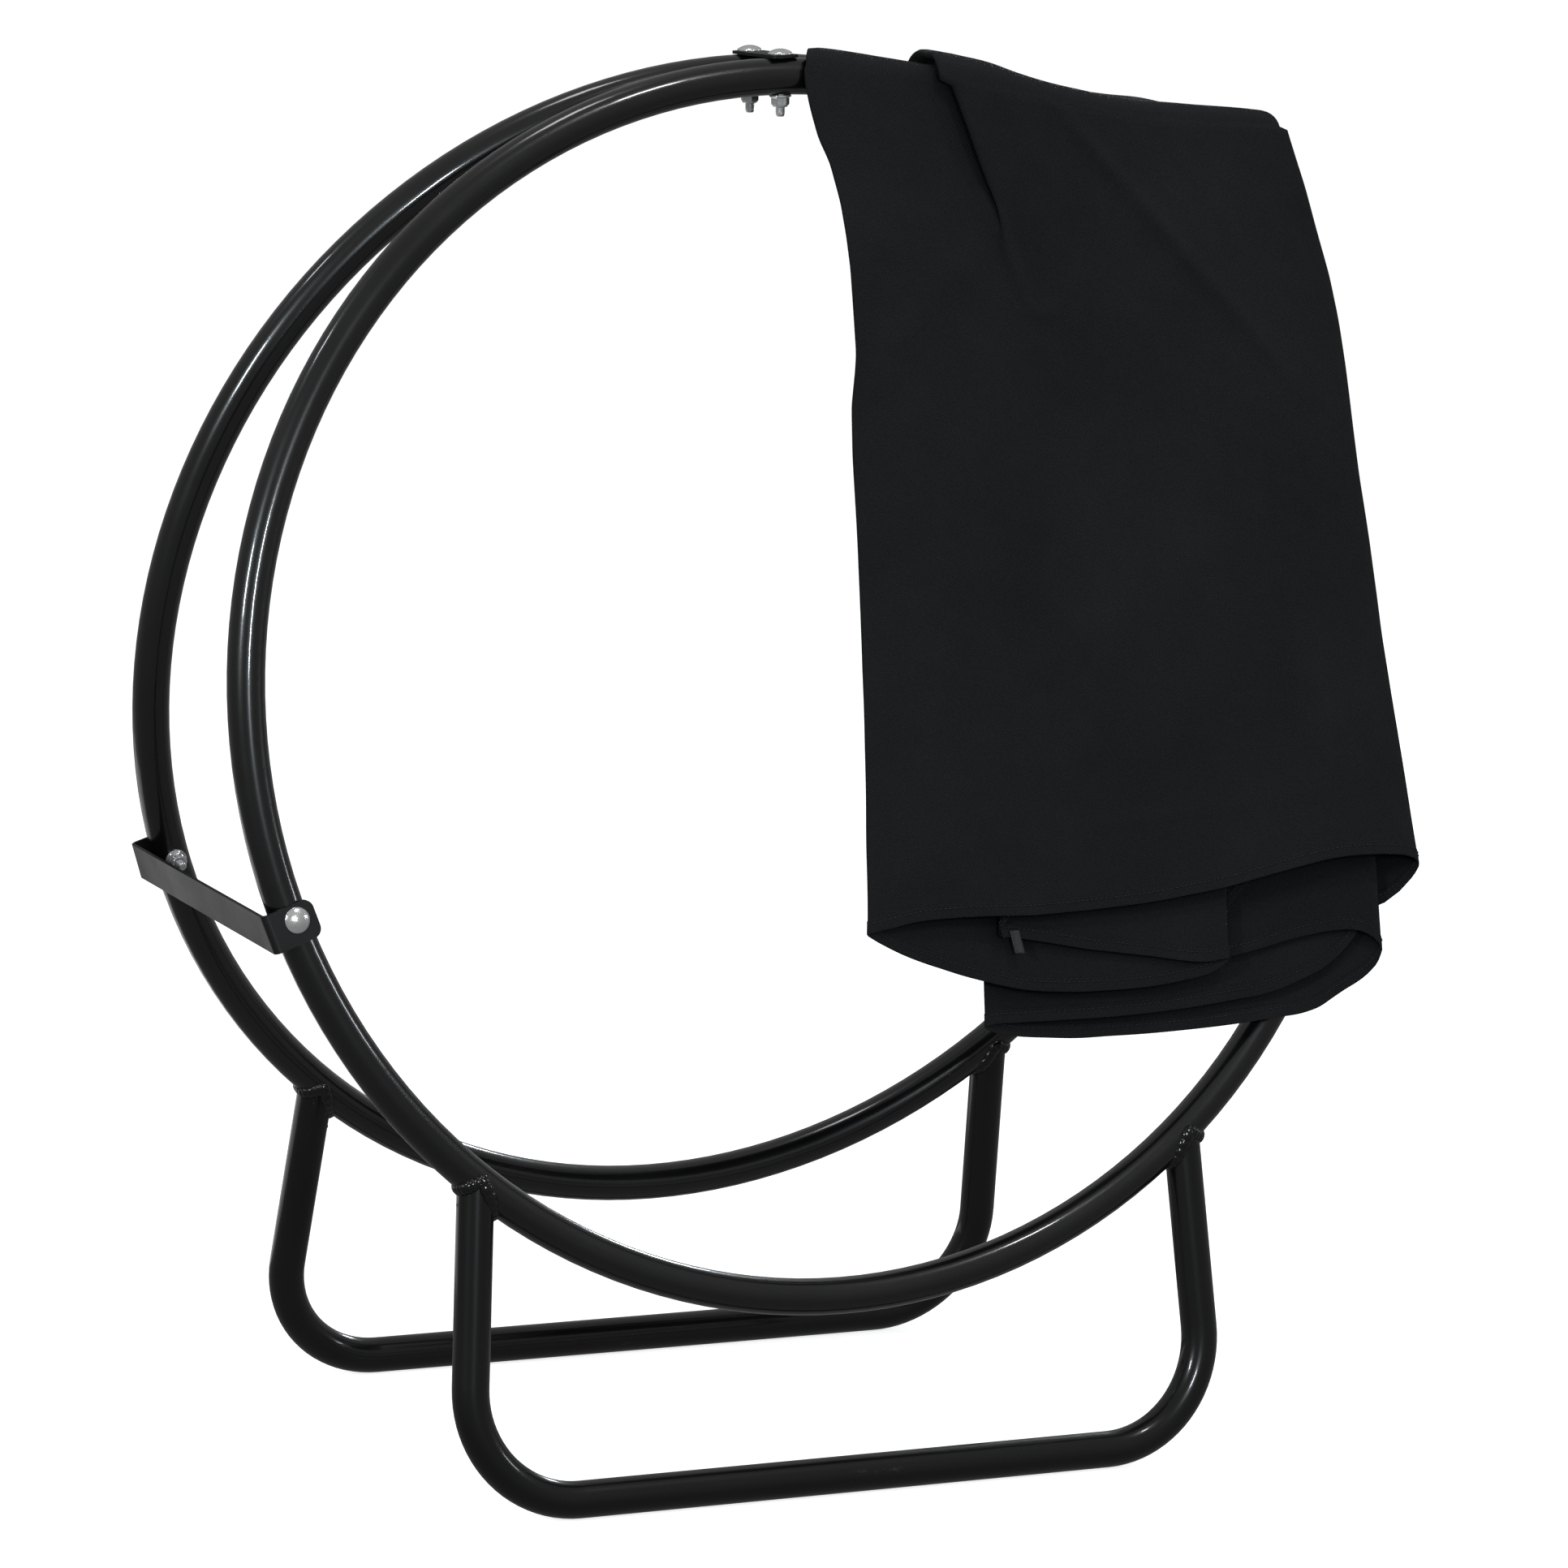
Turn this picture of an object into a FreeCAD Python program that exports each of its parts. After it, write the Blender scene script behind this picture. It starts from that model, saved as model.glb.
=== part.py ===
"""Firewood log rack: two tube hoops that lean together at the top, each on a welded U-shaped foot,
tied by two side brackets and a top plate, with a folded weather cover over the right-hand side.

Millimetres. +Z is up, +X is to the right and -Y towards the front. The origin is on the floor, under
the middle of the rack. Each hoop is drawn in a frame of its own: origin at the hoop's centre, +X to
the right and +Y up the lean as seen from outside the rack, +Z out of the rack. The back frame is the
front one turned half a turn about Z, so "clock" angles run clockwise from the top as seen from outside.
"""

import FreeCAD, Part
import math
import os

import Sketcher
from FreeCAD import Placement, Rotation, Vector

SIZES = {
    # hoops
    "hoop_radius": 493,  # to the tube's centreline: 1016 over the outside
    "tube_od": 30,
    "tube_wall": 1.4,
    "hoop_height": 638,  # hoop's centre above the foot's centreline, up the lean
    "lean": 10.2,  # degrees that each hoop leans in from upright
    "foot_spread": 222,  # foot's centreline from the middle of the rack
    # joints between the rolled tubes
    "side_joint": 109.7,  # clock angle of the side bolts
    "front_top_joint": -1.98,  # clock angle of each hoop's top bolt
    "back_top_joint": 2.79,
    "seam_past_bolt": 3.5,  # degrees from a bolt to the seam beyond it
    "spigot_span": 6.4,  # degrees of swaged end inside the next tube
    "collar_span": 0.35,
    "spigot_clearance": 0.2,
    # feet
    "leg_top": 316,  # leg's centreline from the middle, where it meets the hoop's
    "leg_splay": 3.75,  # degrees that the legs spread towards the floor
    "foot_bend": 90,
    "weld_size": 4,
    # bolts and nuts
    "bolt_shank": 7.9,
    "bolt_length": 50,
    "bolt_hole": 8.6,
    "head_radius": 10.3,
    "head_height": 4.6,
    "neck_side": 8.1,
    "square_hole": 8.5,
    "nut_flange_radius": 9,
    "nut_flange_height": 1.6,
    "nut_across_flats": 13,
    "nut_hex_height": 6.6,
    "nut_collar_radius": 6,
    "nut_height": 9.4,
    "nut_bore": 8,
    "nut_drop": 0.15,  # keeps the flat top nuts off the hollow side of the hoops
    # brackets and plate
    "strip_width": 31,
    "strip_thickness": 2.5,
    "bracket_gap": 7.5,  # from the tubes to the bracket's web
    "tab_reach": 16.5,  # from the bolt to the tab's rounded end
    "tab_corner": 8,
    "bend_radius": 5,
    "bend_inside": 2.4,
    "plate_width": 24,
    "plate_length": 62,
    "plate_corner": 2,
    "plate_lift": 0.05,  # keeps the flat plate off the two curved tubes
    # folded cover
    "cover_gap_top": 1.2,  # between the tubes and the cover's inside
    "cover_gap_bottom": 10,  # clears the bolt heads
    "cover_thick_top": 9,
    "cover_thick_bottom": 46,
    "cover_left": -6,
    "cover_right": 535,
    "cover_roof_half": 44,
}

doc = FreeCAD.newDocument("log_rack")


def make_sheet(sizes):
    """The driving dimensions, one named cell each."""
    sheet = doc.addObject("Spreadsheet::Sheet", "sizes")
    for row, (alias, value) in enumerate(sizes.items(), start=1):
        sheet.set(f"A{row}", alias)
        sheet.set(f"B{row}", str(value))
        sheet.setAlias(f"B{row}", alias)
    doc.recompute()
    return sheet


sheet = make_sheet(SIZES)


def size(alias):
    return float(getattr(sheet, alias))


TUBE_RADIUS = size("tube_od") / 2
HOOP_RADIUS = size("hoop_radius")
ALONG_X, ALONG_Z = Vector(1, 0, 0), Vector(0, 0, 1)


# ---------------------------------------------------------------- places


def moved(x, y, z):
    return Placement(Vector(x, y, z), Rotation())


def turned(axis, degrees):
    return Placement(Vector(), Rotation(axis, degrees))


def hoop_frame(side):
    """The frame of one hoop, with its origin at the hoop's centre."""
    lean = math.radians(size("lean"))
    height = size("hoop_height")
    out = -(size("foot_spread") - height * math.sin(lean))
    front = Placement(
        Vector(0, out, TUBE_RADIUS + height * math.cos(lean)),
        Rotation(ALONG_X, 90 - size("lean")),
    )
    return front if side == "front" else turned(ALONG_Z, 180).multiply(front)


def on_hoop(side, clock):
    """On the tube's centreline at a clock angle: +X points away from the hoop's centre, +Z out."""
    return hoop_frame(side).multiply(turned(ALONG_Z, 90 - clock)).multiply(moved(HOOP_RADIUS, 0, 0))


def clock_of(side, where):
    """The clock angle of the top, left or right joint. Left and right are the rack's, from the front."""
    if where == "top":
        return size(side + "_top_joint")
    return size("side_joint") if (where == "right") == (side == "front") else -size("side_joint")


def plate_frame():
    """Between the two top bolts on the tubes' centrelines: +Y runs to the back bolt, +Z up."""
    front, back = (on_hoop(side, clock_of(side, "top")).Base for side in ("front", "back"))
    slope = (size("front_top_joint") - size("back_top_joint")) / 2
    along = (back - front).normalize()
    across = Vector(math.cos(math.radians(slope)), 0, -math.sin(math.radians(slope)))
    up = across.cross(along).normalize()
    return Placement((front + back) / 2, Rotation(along.cross(up), along, up, "ZXY"))


def bolt_frame(side, where):
    """On the tube's centreline at a bolt: +Z points to the bolt's head."""
    place = on_hoop(side, clock_of(side, where))
    return Placement(place.Base, plate_frame().Rotation) if where == "top" else place


def bracket_frame(where):
    """Between the front and back side bolts: +X along Y, +Z away from the rack's middle."""
    front, back = (bolt_frame(side, where) for side in ("front", "back"))
    along = (back.Base - front.Base).normalize()
    tangent = front.Rotation.multVec(Vector(0, 1, 0))
    outward = along.cross(tangent).normalize()
    if outward.dot(front.Rotation.multVec(ALONG_X)) < 0:
        outward = -outward
    middle = (front.Base + back.Base) / 2
    return Placement(middle, Rotation(along, outward.cross(along), outward, "ZXY"))


# ---------------------------------------------------------------- features


def origin_plane(body, role):
    return next(f for f in body.Origin.OriginFeatures if f.Role == role)


def make_body(name, placement):
    body = doc.addObject("PartDesign::Body", name)
    body.Label = name
    body.Placement = placement
    return body


def make_sketch(body, name, role, offset=Placement()):
    sketch = body.newObject("Sketcher::SketchObject", name)
    sketch.AttachmentSupport = (origin_plane(body, role), [""])
    sketch.MapMode = "FlatFace"
    sketch.AttachmentOffset = offset
    return sketch


def sketch_in(body, name, place):
    """A sketch whose plane is the XY plane of a place given in the rack's frame."""
    return make_sketch(body, name, "XY_Plane", body.Placement.inverse().multiply(place))


def bind(sketch, name, constraint, expression):
    """Adds a dimension to a sketch and ties it to the sheet."""
    sketch.renameConstraint(sketch.addConstraint(constraint), name)
    sketch.setExpression("Constraints." + name, expression)


def add_circle(sketch, name, radius, x_expression=None, side=1):
    """A circle on the sketch's X axis, with its radius and its place tied to the sheet."""
    start = size("hoop_radius") * side if x_expression else 0
    circle = sketch.addGeometry(Part.Circle(Vector(start, 0, 0), ALONG_Z, 1), False)
    if x_expression:
        sketch.addConstraint(Sketcher.Constraint("PointOnObject", circle, 3, -1))
        ends = (-1, 1, circle, 3) if side > 0 else (circle, 3, -1, 1)
        bind(sketch, name + "_x", Sketcher.Constraint("DistanceX", *ends, abs(start)), x_expression)
    else:
        sketch.addConstraint(Sketcher.Constraint("Coincident", circle, 3, -1, 1))
    bind(sketch, name + "_radius", Sketcher.Constraint("Radius", circle, 1), radius)


def add_outline(sketch, points):
    """A closed outline of straight edges through the given points."""
    corners = [Vector(x, y, 0) for x, y in points]
    ends = corners[1:] + corners[:1]
    sketch.addGeometry([Part.LineSegment(a, b) for a, b in zip(corners, ends)], False)
    for edge in range(len(corners)):
        follower = (edge + 1) % len(corners)
        sketch.addConstraint(Sketcher.Constraint("Coincident", edge, 2, follower, 1))


def add_surround(sketch, outline, reach):
    """An outline inside a far rectangle, so that a pocket trims away all that lies outside it."""
    first = len(outline)
    add_outline(sketch, outline)
    corners = [Vector(x * reach, y * reach, 0) for x, y in ((-1, -1), (1, -1), (1, 1), (-1, 1))]
    sides = zip(corners, corners[1:] + corners[:1])
    sketch.addGeometry([Part.LineSegment(a, b) for a, b in sides], False)
    for edge in range(4):
        follower = first + (edge + 1) % 4
        sketch.addConstraint(Sketcher.Constraint("Coincident", first + edge, 2, follower, 1))


def add_box(sketch, width, height, left=None):
    """A rectangle, centred on the origin or starting a distance to its left, tied to the sheet."""
    add_outline(sketch, [(-10, -10), (10, -10), (10, 10), (-10, 10)])
    for edge, kind in enumerate(("Horizontal", "Vertical", "Horizontal", "Vertical")):
        sketch.addConstraint(Sketcher.Constraint(kind, edge))
    bind(sketch, "width", Sketcher.Constraint("DistanceX", 0, 1, 0, 2, 20), width)
    bind(sketch, "height", Sketcher.Constraint("DistanceY", 1, 1, 1, 2, 20), height)
    bind(sketch, "left", Sketcher.Constraint("DistanceX", 0, 1, -1, 1, 10), left or f"({width}) / 2")
    bind(sketch, "low", Sketcher.Constraint("DistanceY", 0, 1, -1, 1, 10), f"({height}) / 2")


def add_feature(body, kind, name, sketch, both_ways=False, **settings):
    """A sketched feature. A setting that is text is an expression on the sheet."""
    feature = body.newObject("PartDesign::" + kind, name)
    feature.Profile = sketch
    if both_ways:
        feature.SideType = "Symmetric"
    for key, value in settings.items():
        if isinstance(value, str):
            feature.setExpression(key, value)
        else:
            setattr(feature, key, value)
    return feature


def revolve(body, kind, name, sketch, angle, reverse=False):
    return add_feature(
        body, kind, name, sketch, ReferenceAxis=(sketch, ["V_Axis"]), Reversed=reverse, Angle=angle
    )


def edges_at(shape, points):
    """The names of the edges whose middles lie nearest to the given points."""
    middles = [e.valueAt((e.FirstParameter + e.LastParameter) / 2) for e in shape.Edges]
    nearest = (min(range(len(middles)), key=lambda i: (middles[i] - p).Length) for p in points)
    return [f"Edge{i + 1}" for i in nearest]


# ---------------------------------------------------------------- tubes


def ring_sketch(body, name, outer, inner):
    """A tube's section, standing on the hoop's centreline."""
    sketch = make_sketch(body, name, "XZ_Plane")
    add_circle(sketch, "outer", outer, "sizes.hoop_radius")
    add_circle(sketch, "inner", inner, "sizes.hoop_radius")
    return sketch


def make_hoop_tube(name, side, first, last):
    """A rolled tube that runs clockwise from the seam past one joint to the seam past the next.
    Its first end is swaged down into a spigot that goes back inside the tube before it."""
    past = size("seam_past_bolt")
    start = clock_of(side, first) + past
    span = (clock_of(side, last) + past - start) % 360
    body = make_body(name, hoop_frame(side).multiply(turned(ALONG_Z, 90 - start)))
    bore = "sizes.tube_od / 2 - sizes.tube_wall"
    spigot = bore + " - sizes.spigot_clearance"
    lining = spigot + " - sizes.tube_wall"
    main = ring_sketch(body, "tube_section", "sizes.tube_od / 2", bore)
    revolve(body, "Revolution", "tube", main, str(span), reverse=True)
    collar = ring_sketch(body, "collar_section", "sizes.tube_od / 2", lining)
    revolve(body, "Revolution", "collar", collar, "sizes.collar_span", reverse=True)
    neck = ring_sketch(body, "spigot_section", spigot, lining)
    revolve(body, "Revolution", "spigot", neck, "sizes.spigot_span")
    for joint in (first, last):
        hole = sketch_in(body, joint + "_hole_circle", bolt_frame(side, joint))
        add_circle(hole, "hole", "sizes.bolt_hole / 2")
        add_feature(
            body, "Pocket", joint + "_hole", hole, Length="sizes.tube_od * 1.2", both_ways=True
        )
    return body


def add_tube_section(sketch, x_expression=None, side=1):
    add_circle(sketch, "outer", "sizes.tube_od / 2", x_expression, side)
    add_circle(sketch, "inner", "sizes.tube_od / 2 - sizes.tube_wall", x_expression, side)


def make_torus(name, side, radius):
    """A torus about one hoop's centreline."""
    torus = doc.addObject("Part::Torus", name)
    torus.setExpression("Radius1", "sizes.hoop_radius")
    torus.setExpression("Radius2", radius)
    torus.Placement = hoop_frame(side)
    return torus


def combine(kind, name, base, tool):
    result = doc.addObject("Part::" + kind, name)
    result.Base, result.Tool = base, tool
    return result


def make_foot(name, side):
    """A straight run, two bends and two splayed legs. The hoop's own tube is then cut away, which
    copes both leg ends to fit against it."""
    body = make_body(name + "_bent", hoop_frame(side))
    drop, bend, top = size("hoop_height"), size("foot_bend"), size("leg_top")
    splay = math.radians(size("leg_splay"))
    rise = math.sqrt(HOOP_RADIUS**2 - top**2)
    base_end = top + (drop - rise) * math.tan(splay) - bend * math.tan((math.pi / 2 + splay) / 2)
    leg_start_x = base_end + bend * math.cos(splay)
    leg_start_y = bend * (1 + math.sin(splay)) - drop
    run = make_sketch(body, "run_section", "YZ_Plane")
    add_tube_section(run, "sizes.hoop_height", side=-1)
    add_feature(body, "Pad", "run", run, Length=2 * base_end, both_ways=True)
    for hand, label in ((1, "right"), (-1, "left")):
        centre = moved(hand * base_end, bend - drop, 0)
        upright = turned(ALONG_Z, -90).multiply(turned(ALONG_X, 90))
        turn = sketch_in(body, label + "_bend_section", hoop_frame(side) * centre * upright)
        add_tube_section(turn, "sizes.foot_bend")
        revolve(body, "Revolution", label + "_bend", turn, "90 + sizes.leg_splay", hand < 0)
        start = moved(hand * leg_start_x, leg_start_y, 0) * turned(ALONG_Z, hand * size("leg_splay"))
        leg = sketch_in(
            body, label + "_leg_section", hoop_frame(side) * start * turned(ALONG_X, -90)
        )
        add_tube_section(leg)
        leg_length = -(rise + leg_start_y) / math.cos(splay)
        add_feature(body, "Pad", label + "_leg", leg, Length=leg_length)
    hoop = make_torus(name + "_cope", side, "sizes.tube_od / 2")
    foot = combine("Cut", name, body, hoop)
    foot.Label = name
    return foot


def make_weld(name, side, where):
    """The bead round a leg's coped end: what lies near both tubes but outside them."""
    hand = 1 if (where == "right") == (side == "front") else -1
    rise = math.sqrt(HOOP_RADIUS**2 - size("leg_top") ** 2)
    over, length = 3, 60
    down = turned(ALONG_Z, hand * size("leg_splay")).multiply(turned(ALONG_X, 90))
    leg = hoop_frame(side).multiply(moved(hand * size("leg_top"), -rise, 0)).multiply(down)
    leg = leg.multiply(moved(0, 0, -over))

    def cylinder(label, radius):
        part = doc.addObject("Part::Cylinder", f"{name}_{label}")
        part.setExpression("Radius", radius)
        part.Height = length
        part.Placement = leg
        return part

    wide = "sizes.tube_od / 2 + sizes.weld_size"
    narrow = "sizes.tube_od / 2"
    wide_hoop = make_torus(name + "_wide_hoop", side, wide)
    near = combine("Common", name + "_near", cylinder("wide_leg", wide), wide_hoop)
    hoop = make_torus(name + "_hoop", side, narrow)
    outside = combine("Cut", name + "_outside", near, hoop)
    bead = combine("Cut", name, outside, cylinder("leg", narrow))
    bead.Label = name
    return bead


# ---------------------------------------------------------------- bracket and plate


def make_bracket(name, where):
    """A flat strip outside the tubes whose ends are bent over the hoops' outer faces. The web and
    the tabs are drawn too wide and then cut to the strip's width together."""
    body = make_body(name, bracket_frame(where))
    half_run = (bolt_frame("back", where).Base - body.Placement.Base).Length
    web_z = TUBE_RADIUS + size("bracket_gap")
    face = TUBE_RADIUS + size("strip_thickness")
    web = make_sketch(body, "web_outline", "XY_Plane", moved(0, 0, web_z))
    add_box(web, f"2 * ({half_run} + sizes.tube_od)", "sizes.strip_width * 1.4")
    add_feature(body, "Pad", "web", web, Length="sizes.strip_thickness")
    bends = []
    for side in ("front", "back"):
        bolt = bolt_frame(side, where)
        trim = sketch_in(body, side + "_trim_outline", bolt.multiply(moved(0, 0, face)))
        add_box(trim, "sizes.tube_od * 4", "sizes.tube_od * 4")
        add_feature(body, "Pocket", side + "_trim", trim, Length="sizes.tube_od * 2", Reversed=True)
        tab = sketch_in(body, side + "_tab_outline", bolt.multiply(moved(0, 0, TUBE_RADIUS)))
        reach = "sizes.tab_reach + sizes.tube_od / 2 + sizes.bracket_gap + sizes.strip_thickness"
        add_box(tab, reach, "sizes.strip_width * 1.4", left="sizes.tab_reach")
        add_feature(body, "Pad", side + "_tab", tab, Length="sizes.strip_thickness")
        hole = sketch_in(body, side + "_hole_outline", bolt.multiply(moved(0, 0, face)))
        add_box(hole, "sizes.square_hole", "sizes.square_hole")
        add_feature(body, "Pocket", side + "_hole", hole, Length="sizes.strip_thickness * 2")
        bends.append(body.Placement.inverse().multiply(bolt))
    half_width = size("strip_width") / 2
    strip = [(-2 * half_run, -half_width), (2 * half_run, -half_width)]
    strip += [(-x, -y) for x, y in strip]
    sides = make_sketch(body, "strip_outline", "XY_Plane")
    add_surround(sides, strip, 4 * half_run)
    add_feature(body, "Pocket", "sides", sides, Length="sizes.tube_od * 8", both_ways=True)
    doc.recompute()
    reach = web_z + size("strip_thickness")
    insides = [b.multVec(Vector(web_z, 0, TUBE_RADIUS)) for b in bends]
    add_fillet(body, "insides", insides, "sizes.bend_inside")
    outsides = [b.multVec(Vector(reach, 0, face)) for b in bends]
    add_fillet(body, "outsides", outsides, "sizes.bend_radius")
    corners = [
        b.multVec(Vector(-size("tab_reach"), up * half_width, TUBE_RADIUS + 1))
        for b in bends
        for up in (-1, 1)
    ]
    add_fillet(body, "tab_corners", corners, "sizes.tab_corner")
    return body


def add_fillet(body, name, points, radius):
    base = body.Tip
    fillet = body.newObject("PartDesign::Fillet", name)
    fillet.Base = (base, edges_at(base.Shape, points))
    fillet.setExpression("Radius", radius)
    doc.recompute()


def make_tie_plate(name):
    """The flat plate across the tops of the two hoops."""
    body = make_body(name, plate_frame())
    under = moved(0, 0, TUBE_RADIUS + size("plate_lift"))
    outline = make_sketch(body, "outline", "XY_Plane", under)
    add_box(outline, "sizes.plate_width", "sizes.plate_length")
    add_feature(body, "Pad", "plate", outline, Length="sizes.strip_thickness")
    top = moved(0, 0, TUBE_RADIUS + size("plate_lift") + size("strip_thickness"))
    for side in ("front", "back"):
        hole = sketch_in(body, side + "_hole_outline", bolt_frame(side, "top").multiply(top))
        add_box(hole, "sizes.square_hole", "sizes.square_hole")
        add_feature(body, "Pocket", side + "_hole", hole, Length="sizes.strip_thickness * 2")
    doc.recompute()
    half_width, half_length = size("plate_width") / 2, size("plate_length") / 2
    middle = TUBE_RADIUS + size("plate_lift") + size("strip_thickness") / 2
    corners = [Vector(x * half_width, y * half_length, middle) for x in (-1, 1) for y in (-1, 1)]
    add_fillet(body, "corners", corners, "sizes.plate_corner")
    return body


# ---------------------------------------------------------------- fasteners


def make_bolt(name, side, where):
    """A carriage bolt: domed head, square neck in the plate's square hole, plain shank."""
    lift = size("plate_lift") if where == "top" else 0
    seat = TUBE_RADIUS + lift + size("strip_thickness")
    body = make_body(name, bolt_frame(side, where).multiply(moved(0, 0, seat)))
    profile = make_sketch(body, "profile", "XZ_Plane")
    head, height = size("head_radius"), size("head_height")
    shank, length = size("bolt_shank") / 2, size("bolt_length")
    tip = rim = 1.2
    dome_radius = (head**2 + (height - rim) ** 2) / (2 * (height - rim))
    half_way = head / 2
    dome_height = height - dome_radius + math.sqrt(dome_radius**2 - half_way**2)
    dome = Part.Arc(Vector(head, rim, 0), Vector(half_way, dome_height, 0), Vector(0, height, 0))
    profile.addGeometry(dome, False)
    corners = [
        (0, height), (0, -length), (shank - tip, -length), (shank, tip - length),
        (shank, 0), (head, 0), (head, rim),
    ]
    points = [Vector(x, y, 0) for x, y in corners]
    profile.addGeometry([Part.LineSegment(a, b) for a, b in zip(points, points[1:])], False)
    revolve(body, "Revolution", "head_and_shank", profile, "360")
    neck = make_sketch(body, "neck_outline", "XY_Plane")
    add_box(neck, "sizes.neck_side", "sizes.neck_side")
    add_feature(body, "Pad", "neck", neck, Length="sizes.strip_thickness", Reversed=True)
    return body


def make_nut(name, side, where):
    """A flange lock nut: round flange, hexagon and a rounded collar. Its seat faces the head."""
    drop = size("nut_drop") if where == "top" else 0
    under = moved(0, 0, -TUBE_RADIUS - drop).multiply(turned(ALONG_X, 180))
    body = make_body(name, bolt_frame(side, where).multiply(under))
    flats = size("nut_across_flats") / 2
    hexagon = make_sketch(body, "hexagon", "XY_Plane")
    add_outline(
        hexagon,
        [
            (flats / math.cos(math.pi / 6) * math.cos(k * math.pi / 3),
             flats / math.cos(math.pi / 6) * math.sin(k * math.pi / 3))
            for k in range(6)
        ],
    )
    add_feature(body, "Pad", "hex", hexagon, Length="sizes.nut_flange_height + sizes.nut_hex_height")
    flange, lip = size("nut_flange_radius"), size("nut_flange_height")
    bore, collar = size("nut_bore") / 2, size("nut_collar_radius")
    height, shoulder = size("nut_height"), lip + size("nut_hex_height")
    round_off = 1
    profile = make_sketch(body, "flange_and_collar", "XZ_Plane")
    add_outline(
        profile,
        [
            (0, 0), (flange, 0), (flange, lip / 2), (flats, lip * 2), (flats, shoulder - round_off),
            (collar, shoulder), (collar, height - round_off), (collar - round_off, height), (0, height),
        ],
    )
    revolve(body, "Revolution", "flange_and_collar_turned", profile, "360")
    hole = make_sketch(body, "bore_circle", "XY_Plane")
    add_circle(hole, "bore", "sizes.nut_bore / 2")
    add_feature(body, "Pocket", "bore", hole, Length="sizes.nut_height * 3", both_ways=True)
    return body


# ---------------------------------------------------------------- cover


def make_cover(name):
    """The folded cover as a plain closed solid: a panel down the outside of each hoop and a roof
    between them, trimmed to the outline that the folded cloth has from the front. The end that
    hangs behind the rack is shorter and lies further to the right."""
    body = make_body(name, Placement())
    lean = math.radians(size("lean"))

    def beside_front_hoop(up, out):
        """(Y, Z) of a point up the front hoop's plane and out from it."""
        return (
            up * math.sin(lean) - size("foot_spread") - out * math.cos(lean),
            up * math.cos(lean) + TUBE_RADIUS + out * math.sin(lean),
        )

    top_up, low_up = size("hoop_height") + HOOP_RADIUS + 30, 300
    inner_top = TUBE_RADIUS + size("cover_gap_top")
    inner_low = TUBE_RADIUS + size("cover_gap_bottom")
    section = [
        beside_front_hoop(top_up, inner_top),
        beside_front_hoop(top_up, inner_top + size("cover_thick_top")),
        beside_front_hoop(low_up, inner_low + size("cover_thick_bottom")),
        beside_front_hoop(low_up, inner_low),
    ]
    ridge = [(-3, 1152), (100, 1153), (166, 1140), (229, 1127), (309, 1115), (407, 1109), (444, 1094)]
    under_ridge = [(420, 1085), (200, 1112), (120, 1131.5), (60, 1142), (-3, 1144.5)]
    roof = make_sketch(body, "roof_outline", "XZ_Plane")
    add_outline(roof, ridge + under_ridge)
    add_feature(body, "Pad", "roof", roof, Length="2 * sizes.cover_roof_half", both_ways=True)
    panel = make_sketch(body, "panel_section", "YZ_Plane", moved(0, 0, size("cover_left")))
    add_outline(panel, section)
    front = add_feature(
        body, "Pad", "front_panel", panel, Length="sizes.cover_right - sizes.cover_left"
    )
    doc.recompute()
    both = body.newObject("PartDesign::Mirrored", "back_panel")
    both.Originals = [front]
    both.MirrorPlane = (origin_plane(body, "XZ_Plane"), [""])
    body.Tip = both
    doc.recompute()
    right_edge = [(457, 1042), (476, 970), (486, 895), (488, 848), (506, 672), (530, 484)]
    hems = [
        (503, 452), (493, 408), (472, 386), (434, 364), (348, 357), (205, 354), (122, 364),
        (118, 406), (41, 434), (9, 452),
    ]
    left_edge = [(20, 675), (21, 828), (29, 905), (30, 945), (24, 1030), (6, 1081), (-3, 1108)]
    trim = make_sketch(body, "trim_outline", "XZ_Plane")
    add_surround(trim, ridge + right_edge + hems + left_edge, 2 * top_up)
    add_feature(body, "Pocket", "trim", trim, Length="sizes.foot_spread * 4", both_ways=True)
    back_end = [(45, 1153)] + ridge[1:] + [(476, 970), (488, 848), (501, 715), (175, 690)]
    back_trim = make_sketch(body, "back_trim_outline", "XZ_Plane")
    add_surround(back_trim, back_end, 2 * top_up)
    add_feature(body, "Pocket", "back_trim", back_trim, Length="sizes.foot_spread * 2")
    return body


# ---------------------------------------------------------------- assembly


def make_all():
    parts = []
    for side in ("front", "back"):
        inward = ("right", "left") if side == "front" else ("left", "right")
        parts += [
            make_hoop_tube(f"{side}_upper_{inward[0]}_tube", side, "top", inward[0]),
            make_hoop_tube(f"{side}_lower_tube", side, inward[0], inward[1]),
            make_hoop_tube(f"{side}_upper_{inward[1]}_tube", side, inward[1], "top"),
            make_foot(f"{side}_foot_tube", side),
            make_weld(f"{side}_left_weld", side, "left"),
            make_weld(f"{side}_right_weld", side, "right"),
        ]
        for where in ("top", "left", "right"):
            parts.append(make_bolt(f"{side}_{where}_bolt", side, where))
            parts.append(make_nut(f"{side}_{where}_nut", side, where))
    parts += [
        make_bracket("left_side_bracket", "left"),
        make_bracket("right_side_bracket", "right"),
        make_tie_plate("top_tie_plate"),
        make_cover("weather_cover"),
    ]
    return parts


def check(parts):
    """Stops if any object failed to build or any sub-part isn't a valid solid."""
    doc.recompute()
    for item in doc.Objects:
        if {"Invalid", "Error"} & set(item.State):
            raise RuntimeError(f"{item.Name} ({item.Label}) failed: {item.State}")
    for part in parts:
        shape = part.Shape
        if shape.isNull() or not shape.isValid() or len(shape.Solids) != 1:
            raise RuntimeError(f"{part.Label} isn't one valid solid")


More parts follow.
